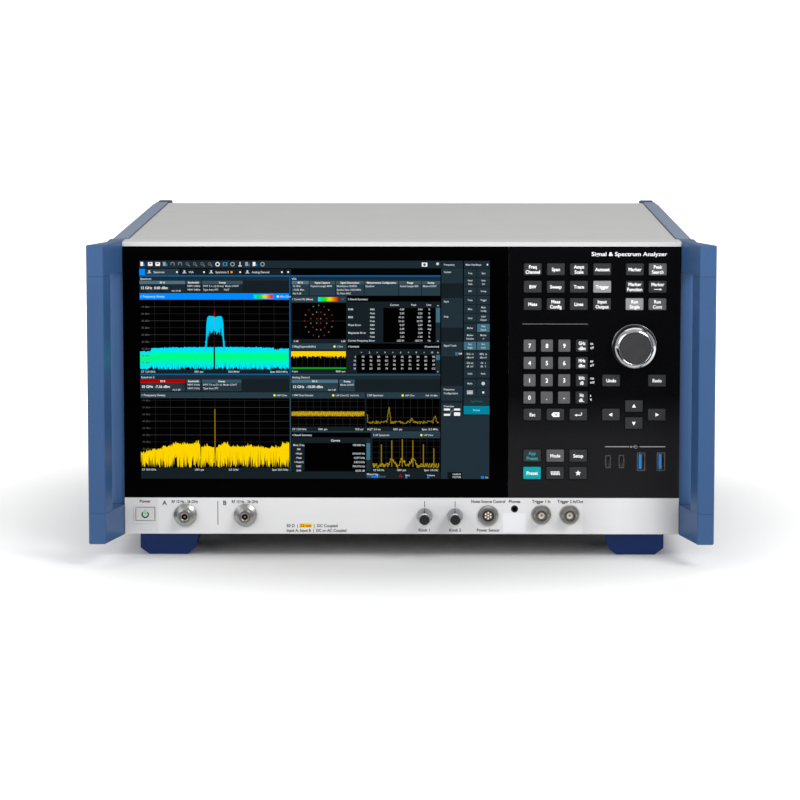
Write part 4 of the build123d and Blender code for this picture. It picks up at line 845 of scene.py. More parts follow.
CORE = [(67.6 + 0.42 * k, 79.4 - 0.92 * k, 0.13 * (k + 1)) for k in range(7)]
for level, (top, bottom, share) in enumerate(CORE):
    blend = tuple(CYAN[c] * (1 - share) + SPRING[c] * share for c in range(4))
    samples = []
    for index in range(0, count + 1, 2):
        u = min(index * step, PANE_RIGHT - 0.05)
        lift = 1.8 if u < 8.4 else 0.0
        samples.append((u, top + lift + rng.uniform(-0.35, 0.35), bottom + rng.uniform(-0.9, 0.9) + lift * 0.5))
    filled(blend, samples, 5 + level)


def spikes(colour, u0, u1, foot, reach, amount, layer):
    """Thin dark gaps that rise from the foot of a noise trace."""
    for index in range(amount):
        u = rng.uniform(u0, u1)
        rise = reach * rng.random() ** 2 + 0.4
        filled(colour, [(u - 0.16, foot - 0.3, foot), (u, foot - rise, foot), (u + 0.16, foot - 0.3, foot)], layer)


spikes(tint(2, 8, 9), 8.5, PANE_RIGHT - 0.4, 81.8, 5.6, 150, 12)
hump = []
HUMP_LEFT, HUMP_RIGHT = 48.9, 63.3
steps = 34
for index in range(steps + 1):
    share = index / steps
    u = HUMP_LEFT + (HUMP_RIGHT - HUMP_LEFT) * share
    edge = min(share, 1 - share)
    crown = 41.6 + 0.9 * max(0.0, 1 - abs(share - 0.5) * 8) + rng.uniform(-0.25, 0.25)
    if edge < 0.03:
        top, bottom = 60.0, 70.0
    elif edge < 0.06:
        top, bottom = 48.0, 68.0
    elif edge < 0.09:
        top, bottom = 44.6, 60.5
    elif edge < 0.16:
        top, bottom = crown + (0.16 - edge) * 24, 56.5 + rng.uniform(-1.0, 1.0)
    else:
        top, bottom = crown, 53.6 + rng.uniform(-2.4, 3.6) - 2.0 * abs(share - 0.5)
    hump.append((u, top, bottom))
filled(tint(0, 206, 248), hump, 5)
filled(tint(165, 18, 18), [(55.3, 41.2, 42.2), (55.75, 36.4, 42.2), (56.2, 41.2, 42.2)], 13)
area(tint(96, 150, 160), 55.55, 41.5, 55.85, 55.5, 13)
filled(tint(3, 8, 6), [(55.0, 56.0, 81.6), (56.1, 56.0, 81.6)], 13)
area(tint(60, 30, 20), 55.4, 57.0, 55.7, 66.0, 14)
area(SLATE_DARK, 0, 81.8, PANE_RIGHT, 84.6)
plot_labels(83.3, "CF 12.0 GHz", "1001 pts", "50.0 MHz/", "Span 500.0 MHz", 0, PANE_RIGHT)
area(EDGE_BLUE, 0, 84.8, 112.6, 85.9, 2)
area(EDGE_BLUE, PANE_RIGHT + 0.2, 11.9, 112.6, 85.9, 2)

# Lower left: spectrum with a yellow noise floor and one thin line.
heading("Spectrum 2", 0, 86.0, PANE_RIGHT)
area(SLATE_DARK, 0, 88.9, PANE_RIGHT, 98.6)
info_box(0, 89.2, 33.5, 98.0, "RF B", [], RED)
note("10 GHz  -7.36 dBm", 0.8, 94.6, 1.9, WHITE)
note("Att 2 dB", 24.0, 96.9, 1.2)
info_box(34.6, 89.2, 45.0, 98.0, "Bandwidth", ["RBW 3 kHz", "VBW 3 kHz"])
info_box(46.2, 89.2, 75.6, 98.0, "Sweep", ["SWT 7.9 us (7.1 s)  Mode CONT", "Type Auto FFT"])
area(SLATE_MID, 0, 98.8, PANE_RIGHT, 103.3)
note("1 Frequency Sweep", 0.6, 101.0, 1.6)
dot(DOT_YELLOW, 100.4, 101.1, 0.85)
note("1AP Clrw", 101.8, 101.1, 1.4)
area(BLACK_UI, 0, 103.5, PANE_RIGHT, 155.8)
grid(0, 103.5, PANE_RIGHT, 155.7, plot_columns, [])
for k in range(8):
    v = 105.0 + 5.22 * k
    area(GRID_BRIGHT if k % 2 else GRID, 6.2, v - 0.12, PANE_RIGHT, v + 0.12, 3)
    note(f"-{10 * (k + 1)} dBm", 0.8, v, 1.3, tint(70, 72, 74), 8)
samples = []
level = 0.0
for index in range(count + 1):
    u = min(index * step, PANE_RIGHT - 0.05)
    level += rng.uniform(-0.5, 0.5) - level * 0.08
    base = 140.5 + level
    if u < 16:
        base = 144.5 - (u / 16) * 3.0 + level * 0.6
    elif 24 < u < 44.5:
        base = 138.4 + level * 0.5
    elif 60 < u < 66:
        base = 137.2 + abs(u - 63) * 0.8
    elif u > 106:
        base = 138.0
    top = base - abs(rng.gauss(0, 1.1))
    if abs(u - 44.9) < 0.3 or abs(u - 55.5) < 0.4:
        top = 152.0
    bottom = 155.6 - (rng.random() ** 2.2) * 9.5
    samples.append((u, min(top, bottom - 1.0), bottom))
filled(YELLOW, samples, 4)
filled(AMBER, [(55.3, 111.5, 155.6), (56.0, 111.5, 155.6)], 5)
area(SLATE_DARK, 0, 155.8, PANE_RIGHT, 158.8)
plot_labels(157.3, "CF 10.0 GHz", "1001 pts", "2.0 GHz/", "Span 20.0 GHz", 0, PANE_RIGHT)
area(SLATE_DARK, 0, 158.9, 225, SCREEN_TALL)
area(PANE_EDGE, PANE_RIGHT + 0.2, 86.0, 112.6, 158.6, 2)

# Upper right: constellation, result table, captured magnitude and symbol table.
R0, R1 = 113.0, 224.5
heading("VSA", R0, 12.1, R1)
area(SLATE_DARK, R0, 15.0, R1, 84.6, 0.5)
BOXES = [
    (113.6, 126.4, "RF A", ["12 GHz", "-10.00 dBm", "Att 0 dB"], SLATE_PALE),
    (126.9, 146.0, "Signal Capture", ["Capture Length 8000"], SLATE_BAND),
    (146.5, 167.4, "Signal Description", ["Modulation 32APSK", "Symbol Rate 100.0 MHz", "Tx Filter RRC"], SLATE_BAND),
    (167.9, 193.2, "Measurement Configuration", ["Equalizer"], SLATE_BAND),
    (193.7, 210.2, "Range", ["Result Length 800"], SLATE_BAND),
    (210.7, 224.3, "Sweep", ["Mode CONT"], SLATE_BAND),
]
for left, right, title, lines, band in BOXES:
    info_box(left, 15.1, right, 26.0, title, lines, band)
area(SLATE_MID, R0 + 0.2, 26.6, 154.3, 31.2)
note("1 Const I/Q (Meas)", 113.8, 28.8, 1.4)
rainbow(133.2, 27.3, 148.2, 30.4)
note("1/8", 150.2, 28.8, 1.2, TEXT_DIM)
area(BLACK_UI, 113.6, 31.7, 154.2, 58.7)
area(tint(22, 30, 26), 133.6, 31.7, 133.9, 58.7, 2)
area(tint(34, 40, 38), 113.6, 45.0, 154.2, 45.3, 2)
for ring, (radius, dots, turn) in enumerate(((10.6, 16, 0.0), (6.2, 12, 15.0), (2.1, 4, 45.0))):
    for index in range(dots):
        angle = math.radians(turn + 360 / dots * index)
        shade = tint(150, 30, 24) if (index * 7 + ring * 3) % 5 < 2 else tint(128, 112, 84)
        dot(shade, 133.7 + radius * math.cos(angle), 45.1 + radius * 1.1 * math.sin(angle), 0.5, 3, 8)
note("-2.48", 114.6, 60.3, 1.3)
note("2.48", 153.6, 60.3, 1.3, align="RIGHT")
area(SLATE_MID, R0 + 0.2, 61.9, 154.3, 66.6)
note("3 Mag(CaptureBuffer)", 113.8, 64.3, 1.4)
dot(DOT_YELLOW, 145.4, 64.3, 0.85)
note("1 Clrw", 147.0, 64.3, 1.2)
area(BLACK_UI, 113.0, 67.7, 154.2, 81.0)
grid(113.0, 67.7, 154.2, 80.0, [113.0 + 4.12 * k for k in range(1, 10)], [])
capture = []
for index in range(96):
    u = 113.0 + 0.43 * index
    capture.append((u, 67.9, 71.2 + abs(rng.gauss(0, 0.55)) + (1.6 if rng.random() < 0.06 else 0)))
filled(YELLOW, capture, 4)
area(GREEN, 113.0, 80.0, 154.2, 81.2, 4)
note("0 sym", 113.6, 83.0, 1.3)
note("8000 sym", 153.6, 83.0, 1.3, align="RIGHT")
area(BLACK_UI, 155.2, 26.4, R1, 30.6)
note("2 Result Summary", 155.6, 28.8, 1.4)
note("Current", 190.2, 33.0, 1.4, align="CENTER")
note("Peak", 204.6, 33.0, 1.4, align="CENTER")
note("Unit", 215.8, 33.0, 1.4, align="CENTER")
area(BLACK_UI, 181.9, 35.3, 220.9, 61.0)
RESULTS = [
    ("EVM", "RMS", "0.83", "0.94", "%"),
    ("", "Peak", "2.63", "3.25", "%"),
    ("MER", "RMS", "41.61", "42.51", "dB"),
    ("", "Peak", "31.61", "29.75", "dB"),
    ("Phase Error", "RMS", "0.37", "0.39", "deg"),
    ("", "Peak", "2.45", "2.76", "deg"),
    ("Magnitude Error", "RMS", "0.54", "0.64", "%"),
    ("", "Peak", "1.63", "-1.65", "%"),
    ("Carrier Frequency Error", "", "-227.41", "-227.19", "Hz"),
]
for row, (name, kind, current, peak, unit) in enumerate(RESULTS):
    v = 36.4 + 2.93 * row
    note(name, 155.6, v, 1.4)
    note(kind, 172.0, v, 1.3)
    note(current, 197.6, v, 1.35, align="RIGHT")
    note(peak, 211.2, v, 1.35, align="RIGHT")
    note(unit, 216.2, v, 1.3, align="CENTER")
area(SLATE_BAR, 221.2, 33.0, 224.2, 61.0)
area(HIGHLIGHT, 221.2, 35.3, 224.2, 46.2, 2)
area(BLACK_UI, 155.2, 62.0, R1, 66.2)
note("4 Symbols", 155.6, 64.3, 1.4)
note("(Hexadecimal)", 223.6, 64.3, 1.3, align="RIGHT")
area(BLACK_UI, 162.2, 70.7, 220.9, 84.1)
for column in range(10):
    note(str(column + 1 if column % 2 else "+"), 165.6 + 5.85 * column, 68.7, 1.25, align="CENTER")
    for row in range(4):
        note(f"{rng.randrange(256):02X}", 166.8 + 5.85 * column, 72.0 + 2.95 * row, 1.35, align="CENTER")
for row in range(4):
    note(str(10 * row), 161.4, 72.0 + 2.95 * row, 1.3, align="RIGHT")
area(SLATE_BAR, 221.2, 68.0, 224.2, 84.1)
area(HIGHLIGHT, 221.2, 70.7, 224.2, 74.4, 2)
for v in (33.6, 60.2, 68.8, 83.2):
    area(TEXT, 222.3, v - 0.35, 223.1, v + 0.35, 3)

# Lower right: demodulated signal, its spectra and its result table.
area(PANE_EDGE, R0, 84.9, R1, 86.0, 2)
heading("Analog Demod", R0, 86.0, R1)
area(SLATE_DARK, R0, 88.9, R1, 158.6, 0.5)
info_box(113.2, 89.2, 148.0, 98.0, "RF A", [], SLATE_PALE)
note("12 GHz  -10.00 dBm", 114.0, 94.6, 1.9, WHITE)
note("Att 5 dB", 140.4, 96.9, 1.2)
info_box(149.0, 89.2, 160.6, 98.0, "Sweep", ["Mode CONT"])
area(SLATE_MID, 113.0, 98.8, 168.2, 103.3)
note("1 FM Time Domain", 113.6, 101.0, 1.4)
dot(DOT_YELLOW, 144.4, 101.1, 0.85)
note("1AP Clrw DC  Ref 0 Hz", 146.0, 101.1, 1.25)
area(SLATE_MID, 169.2, 98.8, R1, 103.3)
note("2 RF Spectrum", 169.8, 101.0, 1.4)
dot(DOT_YELLOW, 196.4, 101.1, 0.85)
note("1AP Clrw", 198.0, 101.1, 1.25)
note("Ref -10 dBm", 222.6, 101.1, 1.25, align="RIGHT")
area(BLACK_UI, 113.0, 103.6, 168.1, 124.7)
area(BLACK_UI, 169.2, 103.6, 224.1, 124.7)
grid(113.0, 103.6, 168.1, 124.7, [113 + 5.5 * k for k in range(1, 10)], [105.5, 109.9, 118.6, 122.9])
grid(169.2, 103.6, 224.1, 124.7, [169.2 + 5.5 * k for k in range(1, 10)], [110.4, 117.8])
demod = []
for index in range(180):
    u = 113.0 + 55.1 * index / 180
    demod.append((u, 112.9 + rng.uniform(0, 0.5), 117.0 - rng.uniform(0, 0.5)))
filled(AMBER, demod, 4)
stripes = []
for index in range(120):
    u = 113.2 + 54.8 * index / 120
    stripes.append((u, 115.0 + 1.9 * math.sin(index * 1.9) * rng.uniform(0.6, 1.0)))
trace(tint(206, 170, 30), stripes, 5, 0.2)
carrier = []
for index in range(120):
    u = 169.4 + 54.6 * index / 120
    v = 121.3 + rng.uniform(-1.1, 1.1)
    for place, tall, width in ((169.6, 8.0, 0.6), (186.1, 12.4, 1.5), (203.3, 2.6, 1.6), (220.5, 4.6, 1.5)):
        v -= tall * max(0.0, 1 - abs(u - place) / width)
    carrier.append((u, v))
trace(tint(150, 125, 20), carrier, 5, 0.3)
area(SLATE_DARK, 113.0, 124.8, R1, 128.2, 2)
plot_labels(126.6, "CF 12.0 GHz", "1001 pts", "", "10.0 us/", 113.0, 168.1)
plot_labels(126.6, "AQT 5.0 ms", "1001 pts", "", "Span 12.5 MHz", 169.2, 224.1)
area(PANE_EDGE, 113.0, 128.4, R1, 128.9, 3)
area(BLACK_UI, 113.0, 129.0, 172.0, 132.8, 2)
note("4 Result Summary", 113.6, 131.0, 1.4)
area(SLATE_MID, 173.4, 129.0, R1, 133.2, 2)
note("3 AF Spectrum", 174.2, 131.0, 1.4)
dot(DOT_YELLOW, 210.4, 131.0, 0.85)
note("1AP Clrw", 212.0, 131.0, 1.25)
note("Current", 146.0, 135.1, 1.45, WHITE, align="CENTER")
area(BLACK_UI, 122.7, 137.1, 168.8, 158.3, 2)
READINGS = [("Mod. Freq", "100.000 Hz"), ("FM", ""), ("+Peak", "674.267 Hz"), ("-Peak", "4.337 kHz"),
            ("+-Peak/2", "5.832 kHz"), ("RMS", "709.774 Hz"), ("SNR", "62.02 dB")]
for row, (name, value) in enumerate(READINGS):
    v = 138.6 + 3.22 * row
    note(name, 118.4, v, 1.4, align="CENTER")
    note(value, 168.0, v, 1.4, align="RIGHT")
area(SLATE_BAR, 169.2, 134.0, 172.0, 158.3, 2)
area(HIGHLIGHT, 169.2, 137.2, 172.0, 149.8, 3)
area(BLACK_UI, 173.7, 133.6, 224.1, 156.2, 2)
grid(173.7, 133.6, 224.1, 156.2, [173.7 + 5.1 * k for k in range(1, 10)], [135.4, 139.8, 144.0, 148.4])
audio = []
for index in range(150):
    u = 173.9 + 50.0 * index / 150
    v = 154.0 + rng.uniform(-1.6, 1.8)
    for place in (188.2, 196.1, 204.0):
        v -= 5.2 * max(0.0, 1 - abs(u - place) / 3.4)
    audio.append((u, v))
trace(tint(176, 148, 24), audio, 5, 0.45)
for place, top in ((180.4, 138.0), (188.2, 135.0), (196.1, 134.2), (204.0, 135.0), (211.9, 138.0), (219.7, 141.0)):
    filled(AMBER, [(place - 0.35, top, 155.0), (place + 0.35, top, 155.0)], 6)
area(SLATE_DARK, 173.7, 156.2, 224.1, 158.8, 3)
plot_labels(157.5, "CF 0.0 Hz", "1001 pts", "", "Span 1.0 kHz", 173.7, 224.1)
note("Measuring...", 169.4, 160.6, 1.4)
for index in range(8):
    area(BRIGHT_BLUE if index in (2, 3, 4) else SLATE_BAND, 169.4 + 1.8 * index, 161.8, 170.9 + 1.8 * index, 163.3, 2)
filled(tint(160, 20, 20), [(193.4, 162.6, 162.8), (194.8, 160.6, 162.8), (196.2, 162.6, 162.8)], 3)
note("Sync", 198.2, 161.4, 1.3)
area(BRIGHT_BLUE, 198.4, 162.6, 199.8, 163.7, 2)
note("Volume", 214.6, 161.4, 1.3)
area(BRIGHT_BLUE, 214.8, 162.6, 216.2, 163.7, 2)

# Softkey column and button column.
SOFT0, SOFT1 = 225.2, 241.2
area(SLATE_DARK, SOFT0, 0, SOFT1, SCREEN_TALL)
area(SLATE_BAR, SOFT0, 0, SOFT1, 5.6, 2)
note("Frequency", SOFT0 + 1.8, 2.9, 1.35)
FIELDS = [(5.8, 16.8, "Center"), (27.9, 39.0, "Start"), (39.1, 50.0, "Stop"), (60.9, 71.6, "Signal Track"),
          (93.9, 105.0, "Frequency\nConfiguration"), (106.6, SCREEN_TALL, "Overview")]
for top, bottom, label in FIELDS:
    area(SLATE, SOFT0, top, SOFT1, bottom, 2)
    for row, line in enumerate(label.split("\n")):
        note(line, SOFT0 + 1.8, top + 2.6 + 2.9 * row, 1.35)
area(HIGHLIGHT, 235.6, 68.4, 237.4, 71.0, 3)
note("Off", 238.0, 69.6, 1.3, WHITE)
for left, top, tall in ((227.2, 110.9, 1.5), (227.2, 114.9, 1.5), (234.8, 110.9, 1.5), (234.8, 113.8, 2.6)):
    area(WHITE, left, top, left + 4.6, top + tall, 3)
trace(TEXT_DIM, [(231.8, 115.6), (232.6, 113.6), (233.4, 112.6), (234.4, 112.0)], 3, 0.3)
KEYS0, KEYS1 = 242.0, 261.3
KEYS_MIDDLE = (KEYS0 + KEYS1) / 2
area(SLATE_DARK, KEYS0, 0, KEYS1, SCREEN_TALL)
area(SLATE_BAR, KEYS0, 0, KEYS1, 5.6, 2)
note("Main Hardkeys", KEYS0 + 1.2, 2.9, 1.35)
area(WHITE, 259.0, 2.3, 260.0, 3.5, 3)
BUTTONS = [
    ("Freq", "Span"), ("Ampt\nScale", "Auto\nSet"), ("BW", "Sweep"), ("Trace", "Trigger"), ("Meas", "Meas\nConfig"),
    ("Lines", "Input\nOutput"), ("Marker", "Peak\nSearch"), ("Marker\nFunction", "Marker\n->"),
    ("Run\nSingle", "Run\nCont"), ("GHz  ns\n-dBm nV", "MHz  us\ndBm uV"), ("kHz ms\ndB  mV", "Hz   s\ndB..  V"),
    ("Undo", "Redo"), ("Mode", "@"), ("#", "*"),
]
LIT_BUTTONS = {(6, 1), (8, 0), (8, 1)}
v = 6.2
for row, pair in enumerate(BUTTONS):
    if row in (6, 9, 12):
        v += 0.7
    for column, label in enumerate(pair):
        left = KEYS0 if column == 0 else KEYS_MIDDLE + 0.3
        right = KEYS_MIDDLE - 0.3 if column == 0 else KEYS1
        area(HIGHLIGHT if (row, column) in LIT_BUTTONS else SLATE, left, v, right, v + 6.1, 2)
        middle = (left + right) / 2
        if label == "@":
            dot(TEXT, middle, v + 3.1, 1.3)
        elif label == "*":
            area(WHITE, middle - 0.7, v + 2.4, middle + 0.7, v + 3.8, 3)
        elif label == "#":
            for line in range(3):
                area(TEXT, middle - 2.2, v + 1.7 + line, middle + 2.2, v + 2.4 + line, 3)
        else:
            lines = label.split("\n")
            for place, line in enumerate(lines):
                note(line, middle, v + 3.05 + (place - (len(lines) - 1) / 2) * 2.6, 1.3, align="CENTER", narrow=0.85)
    v += 6.72
area(SLATE, KEYS0, v, KEYS1, v + 6.1, 2)
note("App Preset", KEYS_MIDDLE, v + 3.0, 1.35, TEAL_DIM, align="CENTER")
v += 6.6
area(TEAL, KEYS0, v, KEYS1, v + 6.3, 2)
note("Preset", KEYS_MIDDLE, v + 3.1, 1.4, tint(150, 215, 225), align="CENTER")
area(SLATE, KEYS0 - 0.8, v + 7.0, KEYS1, SCREEN_TALL, 2)
area(tint(16, 22, 26), 230.0, 159.0, 240.8, SCREEN_TALL, 3)
note("12:45:30", 240.0, 160.6, 1.3, align="RIGHT")
note("10:27:08", 240.0, 162.8, 1.3, align="RIGHT")
area(BRIGHT_BLUE, 255.2, 162.2, 257.4, 163.8, 3)
note("On", 258.2, 163.0, 1.2)
spikes(tint(14, 12, 3), 0.4, PANE_RIGHT - 0.4, 155.7, 15.0, 210, 12)
image.build()


# ---------------------------------------------------------------------------
# Keys: caps with soft edges and printed legends
# ---------------------------------------------------------------------------
KEY_FACE = PANEL_Y - 1.3
WIDE_KEY = (13.2, 8.8)
DIGIT_KEY = (9.0, 9.1)
SYSTEM_KEY = (13.2, 9.2)
FUNCTION_X = (97.65, 114.85, 132.05, 149.4)
MARKER_X = (173.6, 190.65)
FUNCTION_H = (199.8, 186.8, 173.8)
DIGIT_X = (95.6, 108.5, 121.5)
UNIT_X = 134.6
DIGIT_H = (142.6, 129.6, 116.6, 103.6)
EDIT_X = (97.8, 115.05, 132.2)
ARROW_X = (156.6, 173.75, 190.85)
SYSTEM_X = (97.8, 115.1, 132.3)
SYSTEM_H = (59.7, 46.6)
DARK, UNIT, DIGIT, LIT, GREEN_BLUE, RUBBER, INK, INK_APP = range(8)
KEY_MATERIALS = [KEY_DARK, KEY_UNIT, KEY_DIGIT, KEY_LIT, KEY_TEAL, MAT, INK_WHITE, INK_TEAL]
LEGEND_Y = KEY_FACE - 0.012
LEGEND_PITCH = 3.8
# A cap's edge as (inset, depth behind the key face)
CAP_EDGE = ((0.0, 0.55), (0.07, 0.28), (0.22, 0.1), (0.48, 0.01), (0.8, 0.0), (2.4, 0.02))


def key_cap(piece, x, z, size, kind):
    """One cap: straight skirt, rounded shoulder and a faintly dished face."""
    rings = []
    for inset, y in [(0.0, PANEL_Y + 5.2)] + [(inset, KEY_FACE + depth) for inset, depth in CAP_EDGE]:
        outline = rounded((x, z), (size[0] - 2 * inset, size[1] - 2 * inset), max(0.15, 0.75 - inset * 0.5))
        rings.append([(px, y, pz) for px, pz in outline])
    piece.use(kind).loft(rings)


def legend(piece, x, z, text, ink=INK, size=2.5, narrow=0.92):
    lines = text.split("\n")
    for place, line in enumerate(lines):
        middle = z - (place - (len(lines) - 1) / 2) * LEGEND_PITCH
        piece.use(ink).words(line, x, middle, size, LEGEND_Y, narrow=narrow, weight=0.035)


def arrow_head(piece, x, z, turn, size=1.75):
    """A filled triangle that points up, turned by an angle."""
    points = []
    for angle in (0, 125, 235):
        spin = math.radians(angle + turn)
        points.append((x + size * math.sin(spin), z + size * math.cos(spin)))
    piece.use(INK).printed(points, LEGEND_Y)


def stroke(piece, points, pen, kind=INK, y=None):
    """A thin bar along each leg of an (x, z) path."""
    y = LEGEND_Y if y is None else y
    for (x0, z0), (x1, z1) in zip(points, points[1:]):
        along = Vector((x1 - x0, z1 - z0)).normalized() * pen / 2
        side = Vector((-along.y, along.x))
        a, b = Vector((x0, z0)) - along, Vector((x1, z1)) + along
        corners = [a + side, b + side, b - side, a - side]
        piece.use(kind).printed([tuple(c) for c in corners], y)


def key_group(label, size, keys, slot):
    """One group of caps on its silicone strip. keys are (x, height, kind, legend)."""
    piece = Piece(f"{label}_caps", label, slot, KEY_MATERIALS)
    for x, height, kind, text in keys:
        key_cap(piece, x, panel_z(height), size, kind)
    columns = [key[0] for key in keys]
    rows = [panel_z(key[1]) for key in keys]
    margin = 0.6
    piece.use(RUBBER).box(
        (min(columns) - size[0] / 2 + margin, max(columns) + size[0] / 2 - margin),
        (PANEL_Y + 3.4, PANEL_Y + 5.4),
        (min(rows) - size[1] / 2 + margin, max(rows) + size[1] / 2 - margin),
    )
    for x, height, kind, text in keys:
        z = panel_z(height)
        ink = INK_APP if text == "App\nPreset" else INK
        if text == "backspace":
            body = [(x - 3.0, z), (x - 1.7, z + 1.7), (x + 3.0, z + 1.7), (x + 3.0, z - 1.7), (x - 1.7, z - 1.7)]
            piece.use(INK).printed(body, LEGEND_Y)
            for slope in (-1, 1):
                stroke(piece, [(x - 0.4, z - 0.9 * slope), (x + 1.4, z + 0.9 * slope)], 0.4, DARK, LEGEND_Y - 0.03)
        elif text == "enter":
            stroke(piece, [(x + 2.4, z + 1.4), (x + 2.4, z - 0.4), (x - 1.4, z - 0.4)], 0.55)
            arrow_head(piece, x - 1.7, z - 0.4, -90, 1.2)
        elif text in ("up", "down", "left", "right"):
            arrow_head(piece, x, z, {"up": 0, "right": 90, "down": 180, "left": -90}[text])
        elif text == "keyboard":
            for row in range(3):
                for column in range(6):
                    left = x - 3.4 + 1.15 * column + 0.2 * row
                    piece.use(INK).bar((left, left + 0.85), LEGEND_Y,
                                       (z + 0.6 - 1.0 * row, z + 1.35 - 1.0 * row))
        elif text == "star":
            points = []
            for index in range(10):
                reach = 2.35 if index % 2 == 0 else 1.0
                angle = math.pi * index / 5
                points.append((x + reach * math.sin(angle), z + reach * math.cos(angle)))
            piece.use(INK).printed(points, LEGEND_Y)
        elif text == "to marker":
            legend(piece, x, z + 1.8, "Marker")
            stroke(piece, [(x - 2.4, z - 1.9), (x + 1.8, z - 1.9)], 0.5)
            arrow_head(piece, x + 2.2, z - 1.9, 90, 1.05)
        else:
            digit = size == DIGIT_KEY and kind == DIGIT
            legend(piece, x, z, text, ink, 3.1 if digit else 2.5, 0.74 if kind == UNIT else 0.92)
    piece.build(smooth=True, replaces=(label,))


FUNCTION_TEXT = [
    ["Freq\nChannel", "Span", "Ampt\nScale", "Autoset"],
    ["BW", "Sweep", "Trace", "Trigger"],
    ["Meas", "Meas\nConfig", "Lines", "Input\nOutput"],
]
MARKER_TEXT = [["Marker", "Peak\nSearch"], ["Marker\nFunction", "to marker"], ["Run\nSingle", "Run\nCont"]]
LIT_KEYS = {"Trigger": LIT, "Run\nSingle": LIT, "Run\nCont": DIGIT, "Peak\nSearch": DIGIT}
for row in range(3):
    height = FUNCTION_H[row]
    for name, columns, texts in (
        ("function_keys_row", FUNCTION_X, FUNCTION_TEXT[row]),
        ("marker_keys_row", MARKER_X, MARKER_TEXT[row]),
    ):
        keys = [(x, height, LIT_KEYS.get(text, DARK), text) for x, text in zip(columns, texts)]
        key_group(f"{name}_{row + 1}", WIDE_KEY, keys, "key_dark")
for row, texts in enumerate((("7", "8", "9"), ("4", "5", "6"), ("1", "2", "3"), ("0", ".", "-"))):
    keys = [(x, DIGIT_H[row], DIGIT, text) for x, text in zip(DIGIT_X, texts)]
    key_group(f"digit_keys_row_{row + 1}", DIGIT_KEY, keys, "key_grey")
units = zip(DIGIT_H, ("GHz\n-dBm", "MHz\ndBm", "kHz\ndB", "Hz\ndB.."))
key_group("unit_keys", DIGIT_KEY, [(UNIT_X, height, UNIT, text) for height, text in units], "key_dark")
key_group("edit_keys", WIDE_KEY, [(x, 90.8, DARK, text) for x, text in zip(EDIT_X, ("Esc", "backspace", "enter"))],
          "key_dark")
key_group("undo_key", WIDE_KEY, [(ARROW_X[0], 116.5, DARK, "Undo")], "key_dark")
key_group("redo_key", WIDE_KEY, [(ARROW_X[2], 116.5, DARK, "Redo")], "key_dark")
key_group("arrow_key_left", WIDE_KEY, [(ARROW_X[0], 90.8, DARK, "left")], "key_dark")
key_group("arrow_key_right", WIDE_KEY, [(ARROW_X[2], 90.8, DARK, "right")], "key_dark")
key_group("arrow_key_up", WIDE_KEY, [(ARROW_X[1], 97.2, DARK, "up")], "key_dark")
key_group("arrow_key_down", WIDE_KEY, [(ARROW_X[1], 84.4, DARK, "down")], "key_dark")
key_group("system_keys_row_1", SYSTEM_KEY, [
    (SYSTEM_X[0], SYSTEM_H[0], DARK, "App\nPreset"),
    (SYSTEM_X[1], SYSTEM_H[0], DIGIT, "Mode"),
    (SYSTEM_X[2], SYSTEM_H[0], DARK, "Setup"),
], "key_dark")
key_group("system_keys_row_2", SYSTEM_KEY, [
    (SYSTEM_X[0], SYSTEM_H[1], GREEN_BLUE, "Preset"),
    (SYSTEM_X[1], SYSTEM_H[1], DARK, "keyboard"),
    (SYSTEM_X[2], SYSTEM_H[1], DARK, "star"),
], "key_dark")


# ---------------------------------------------------------------------------
# Printing on the keypad fascia
# ---------------------------------------------------------------------------
PRINT_Y = PANEL_Y - INK_HALF
fascia_print = Piece("fascia_print", "case", "fascia_black", [INK_WHITE, INK_GREY])
TITLE = "Signal & Spectrum Analyzer"
fascia_print.use(0).words(TITLE, 197.6, panel_z(211.2), 2.9, PRINT_Y, "RIGHT", narrow=1.22, weight=0.018)
for height, text in zip(DIGIT_H, ("ns\nnV", "µs\nµV", "ms\nmV", "s\nV")):
    for place, line in enumerate(text.split("\n")):
        middle = panel_z(height) + 1.6 - 3.2 * place
        fascia_print.use(0).words(line, 140.9, middle, 1.9, PRINT_Y, "LEFT", narrow=0.9, weight=0.01)
fascia_print.use(1).bar((90.1, 139.1), PRINT_Y, (panel_z(158.7), panel_z(158.9)))
for left, right in ((152.4, 170.4), (178.4, 197.6)):
    fascia_print.use(1).bar((left, right), PRINT_Y, (panel_z(66.15), panel_z(66.75)))
fascia_print.use(1).turned((171.9, panel_z(66.4)), [(0, -2 * INK_HALF), (0.7, -2 * INK_HALF), (0.7, 0),
                                                   (0, 0)], 16)
stroke(fascia_print, [(172.2, panel_z(66.4)), (177.2, panel_z(66.4))], 0.3, 1, PRINT_Y)
stroke(fascia_print, [(173.4, panel_z(66.4)), (174.6, panel_z(67.5)), (175.8, panel_z(67.5))], 0.3, 1, PRINT_Y)
stroke(fascia_print, [(174.0, panel_z(66.4)), (175.0, panel_z(65.3)), (176.2, panel_z(65.3))], 0.3, 1, PRINT_Y)
fascia_print.build()


